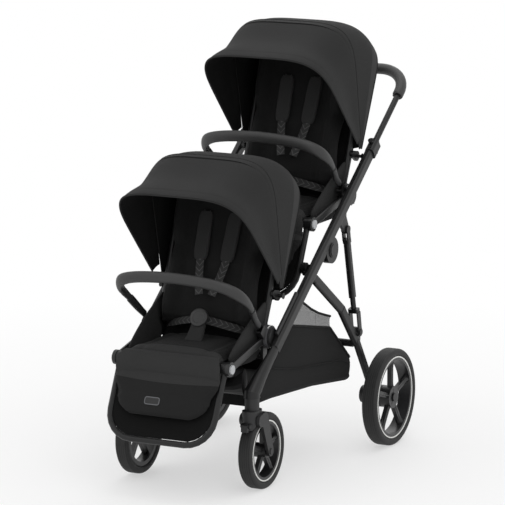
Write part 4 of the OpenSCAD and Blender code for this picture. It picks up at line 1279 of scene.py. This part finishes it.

# %% [markdown]
# ## Joining the pieces to the frame
# Each front piece is copied to the rear seat while it is still free, with a mesh of its own. The
# table gives for each piece the body it moves with, the CAD solids it stands for and its slot of
# the material list; the loop attaches each piece to its body and hides those solids. The two
# cloths across a joint only get their place baked into their mesh.

# %% Front and rear seats
RIDES = {
    "canopy_front_cloth": ("canopy", ["canopy_front"], "fabric"), "canopy_rim": ("canopy", [], "fabric"),
    "canopy_bow_piping": ("canopy", [], "fabric"), "canopy_rear_cloth": ("backrest", ["canopy_rear"], "fabric"),
    "canopy_rear_binding": ("backrest", [], "fabric"),
    "seat_cushion": ("seat", ["seat_pad"], "fabric"), "back_cushion": ("backrest", ["back_pad"], "lining"),
    "leg_panel": ("leg_rest", ["calf_pad"], "fabric"), "leg_pocket": ("leg_rest", [], "fabric"),
    "leg_patch": ("leg_rest", [], "fabric"), "side_panel_left": ("seat", [], "fabric"),
    "side_panel_right": ("seat", [], "fabric"), "crotch_pad": ("seat", [], "fabric"),
    "buckle_cover": ("seat", ["buckle"], "leather"), "bumper_cover": ("bumper", ["bumper_bar"], "leather"),
    "bumper_end_left": ("bumper", [], "plastic"), "bumper_end_right": ("bumper", [], "plastic"),
    "shoulder_strap_left": ("backrest", ["harness"], "lining"), "shoulder_strap_right": ("backrest", [], "lining"),
    "shoulder_sleeve_left": ("backrest", [], "fabric"), "shoulder_sleeve_right": ("backrest", [], "fabric"),
    "waist_strap_left": ("seat", [], "lining"), "waist_strap_right": ("seat", [], "lining"),
    "back_curtain": ("backrest", [], "lining"),
}
BENDS = {"waist_cloth": ("seat", "backrest", (12, -40), (27, 39), "lining"),
         "knee_cloth": ("seat", "leg_rest", (-240, -19), (-264, -84), "fabric")}
PADDED = {"seat_cushion": 0.7, "back_cushion": 0.6, "leg_panel": 0.5, "crotch_pad": 0.5,
          "shoulder_sleeve_left": 0.5, "shoulder_sleeve_right": 0.5}
twins = {name: copy_to_rear(bpy.data.objects[f"front_{name}"], f"rear_{name}") for name in (*RIDES, *BENDS)}
twins["seat_cushion"].data.materials[0] = seat_cloth("rear")
twins["leg_panel"].data.materials[0] = leg_cloth("rear")
twins["canopy_rear_cloth"].data.materials[0] = rear_canopy_cloth("rear")
for seat in ("front", "rear"):
    for name, (body, stands_for, slot) in RIDES.items():
        piece = bpy.data.objects[f"{seat}_{name}"]
        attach(piece, f"{seat}_{body}")
        if stands_for:
            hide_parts(*[f"{seat}_{n}" for n in stands_for])
        name in PADDED
    for name, (a, b, start, end, slot) in BENDS.items():
        piece = bpy.data.objects[f"{seat}_{name}"]
        in_seat(0, start, seat)
        in_seat(0, end, seat)
        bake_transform(piece)
print("seat pieces", 2 * len(twins))

# %% Chassis, basket and handle
for piece in (basket_front, *basket_tapes, *piping, *net_front, *tabs):
    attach(piece, "chassis")
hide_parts("basket")
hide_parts("basket_rear")
for piece in (basket_back, *basket_rear_tapes, *rear_piping, *net_rear):
    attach(piece, "chassis")
    place(0, 345, 300)
    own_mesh(piece)
for body, piece in spokes.items():
    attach(piece, body)
for piece in (grip, *grip_ends):
    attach(piece, "handle")
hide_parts("handle_grip")

# %% [markdown]
# ## Floor and light
# A pale floor takes a soft shadow. Three large lamps light the front, the side and the back; the
# world fills in. Where the camera looks past the stroller, Light Path makes floor and world white.

# %% Floor, lamps and world
only(camera)
bpy.ops.object.select_all(action="DESELECT")
bpy.ops.mesh.primitive_plane_add(size=24, location=(0, 0, -0.0005))
floor = bpy.context.object
floor.name = "floor"


def seen_directly(tree):
    """1 for rays from the camera, off a polished face or through a clear one, else 0."""
    path = tree.nodes.new("ShaderNodeLightPath")
    total = path.outputs["Is Camera Ray"]
    for name in ("Is Glossy Ray", "Is Transmission Ray"):
        node = tree.nodes.new("ShaderNodeMath")
        node.operation = "ADD"
        node.use_clamp = True
        tree.links.new(total, node.inputs[0])
        tree.links.new(path.outputs[name], node.inputs[1])
        total = node.outputs[0]
    return total


floor_paint = Finish("pale_floor")
floor_paint.set(Base_Color=shade("fbfbfb"), Roughness=0.9)
floor_x, floor_y, _ = floor_paint.axes()
away = ((floor_x * floor_x + floor_y * floor_y) ** 0.5 - 0.85) / 1.5
away = floor_paint.add("ShaderNodeMath", {"operation": "MULTIPLY", "use_clamp": True}, away, 1.0)
glow = floor_paint.tree.nodes.new("ShaderNodeEmission")
glow.inputs["Color"].default_value = (1, 1, 1, 1)
blend = floor_paint.tree.nodes.new("ShaderNodeMixShader")
seen = Tone(floor_paint, seen_directly(floor_paint.tree))
floor_paint.tree.links.new(((0.52 + 0.48 * away) * seen).socket, blend.inputs[0])
floor_paint.tree.links.new(floor_paint.shader.outputs[0], blend.inputs[1])
floor_paint.tree.links.new(glow.outputs[0], blend.inputs[2])
surface = next(n for n in floor_paint.tree.nodes if n.type == "OUTPUT_MATERIAL")
floor_paint.tree.links.new(blend.outputs[0], surface.inputs["Surface"])
floor.data.materials.append(floor_paint.material)


def lamp(name, location, size, power, target=(0, 0, 0.5)):
    bpy.ops.object.light_add(type="AREA", location=location)
    light = bpy.context.object
    light.name = name
    light.data.size = size
    light.data.energy = power
    light.rotation_euler = (Vector(target) - Vector(location)).to_track_quat("-Z", "Y").to_euler()
    return light


lamp("key_light", (3.2, -3.4, 3.6), 2.6, 36)
lamp("fill_light", (-3.6, -2.6, 2.4), 3.0, 14)
lamp("back_light", (-1.2, 3.8, 3.4), 2.4, 22)
lamp("top_light", (0, 0, 4.2), 3.0, 30)
world = bpy.data.worlds.new("studio") if scene.world is None else scene.world
scene.world = world
world.use_nodes = True
tree = world.node_tree
tree.nodes.clear()
strength = tree.nodes.new("ShaderNodeMath")
strength.operation = "MAXIMUM"
tree.links.new(seen_directly(tree), strength.inputs[0])
strength.inputs[1].default_value = 0.7
background = tree.nodes.new("ShaderNodeBackground")
background.inputs["Color"].default_value = (1, 1, 1, 1)
tree.links.new(strength.outputs[0], background.inputs["Strength"])
output = tree.nodes.new("ShaderNodeOutputWorld")
tree.links.new(background.outputs[0], output.inputs[0])

# %% [markdown]
# ## Last step
# The view layer is brought up to date once more.

# %% Finish
bpy.context.view_layer.update()
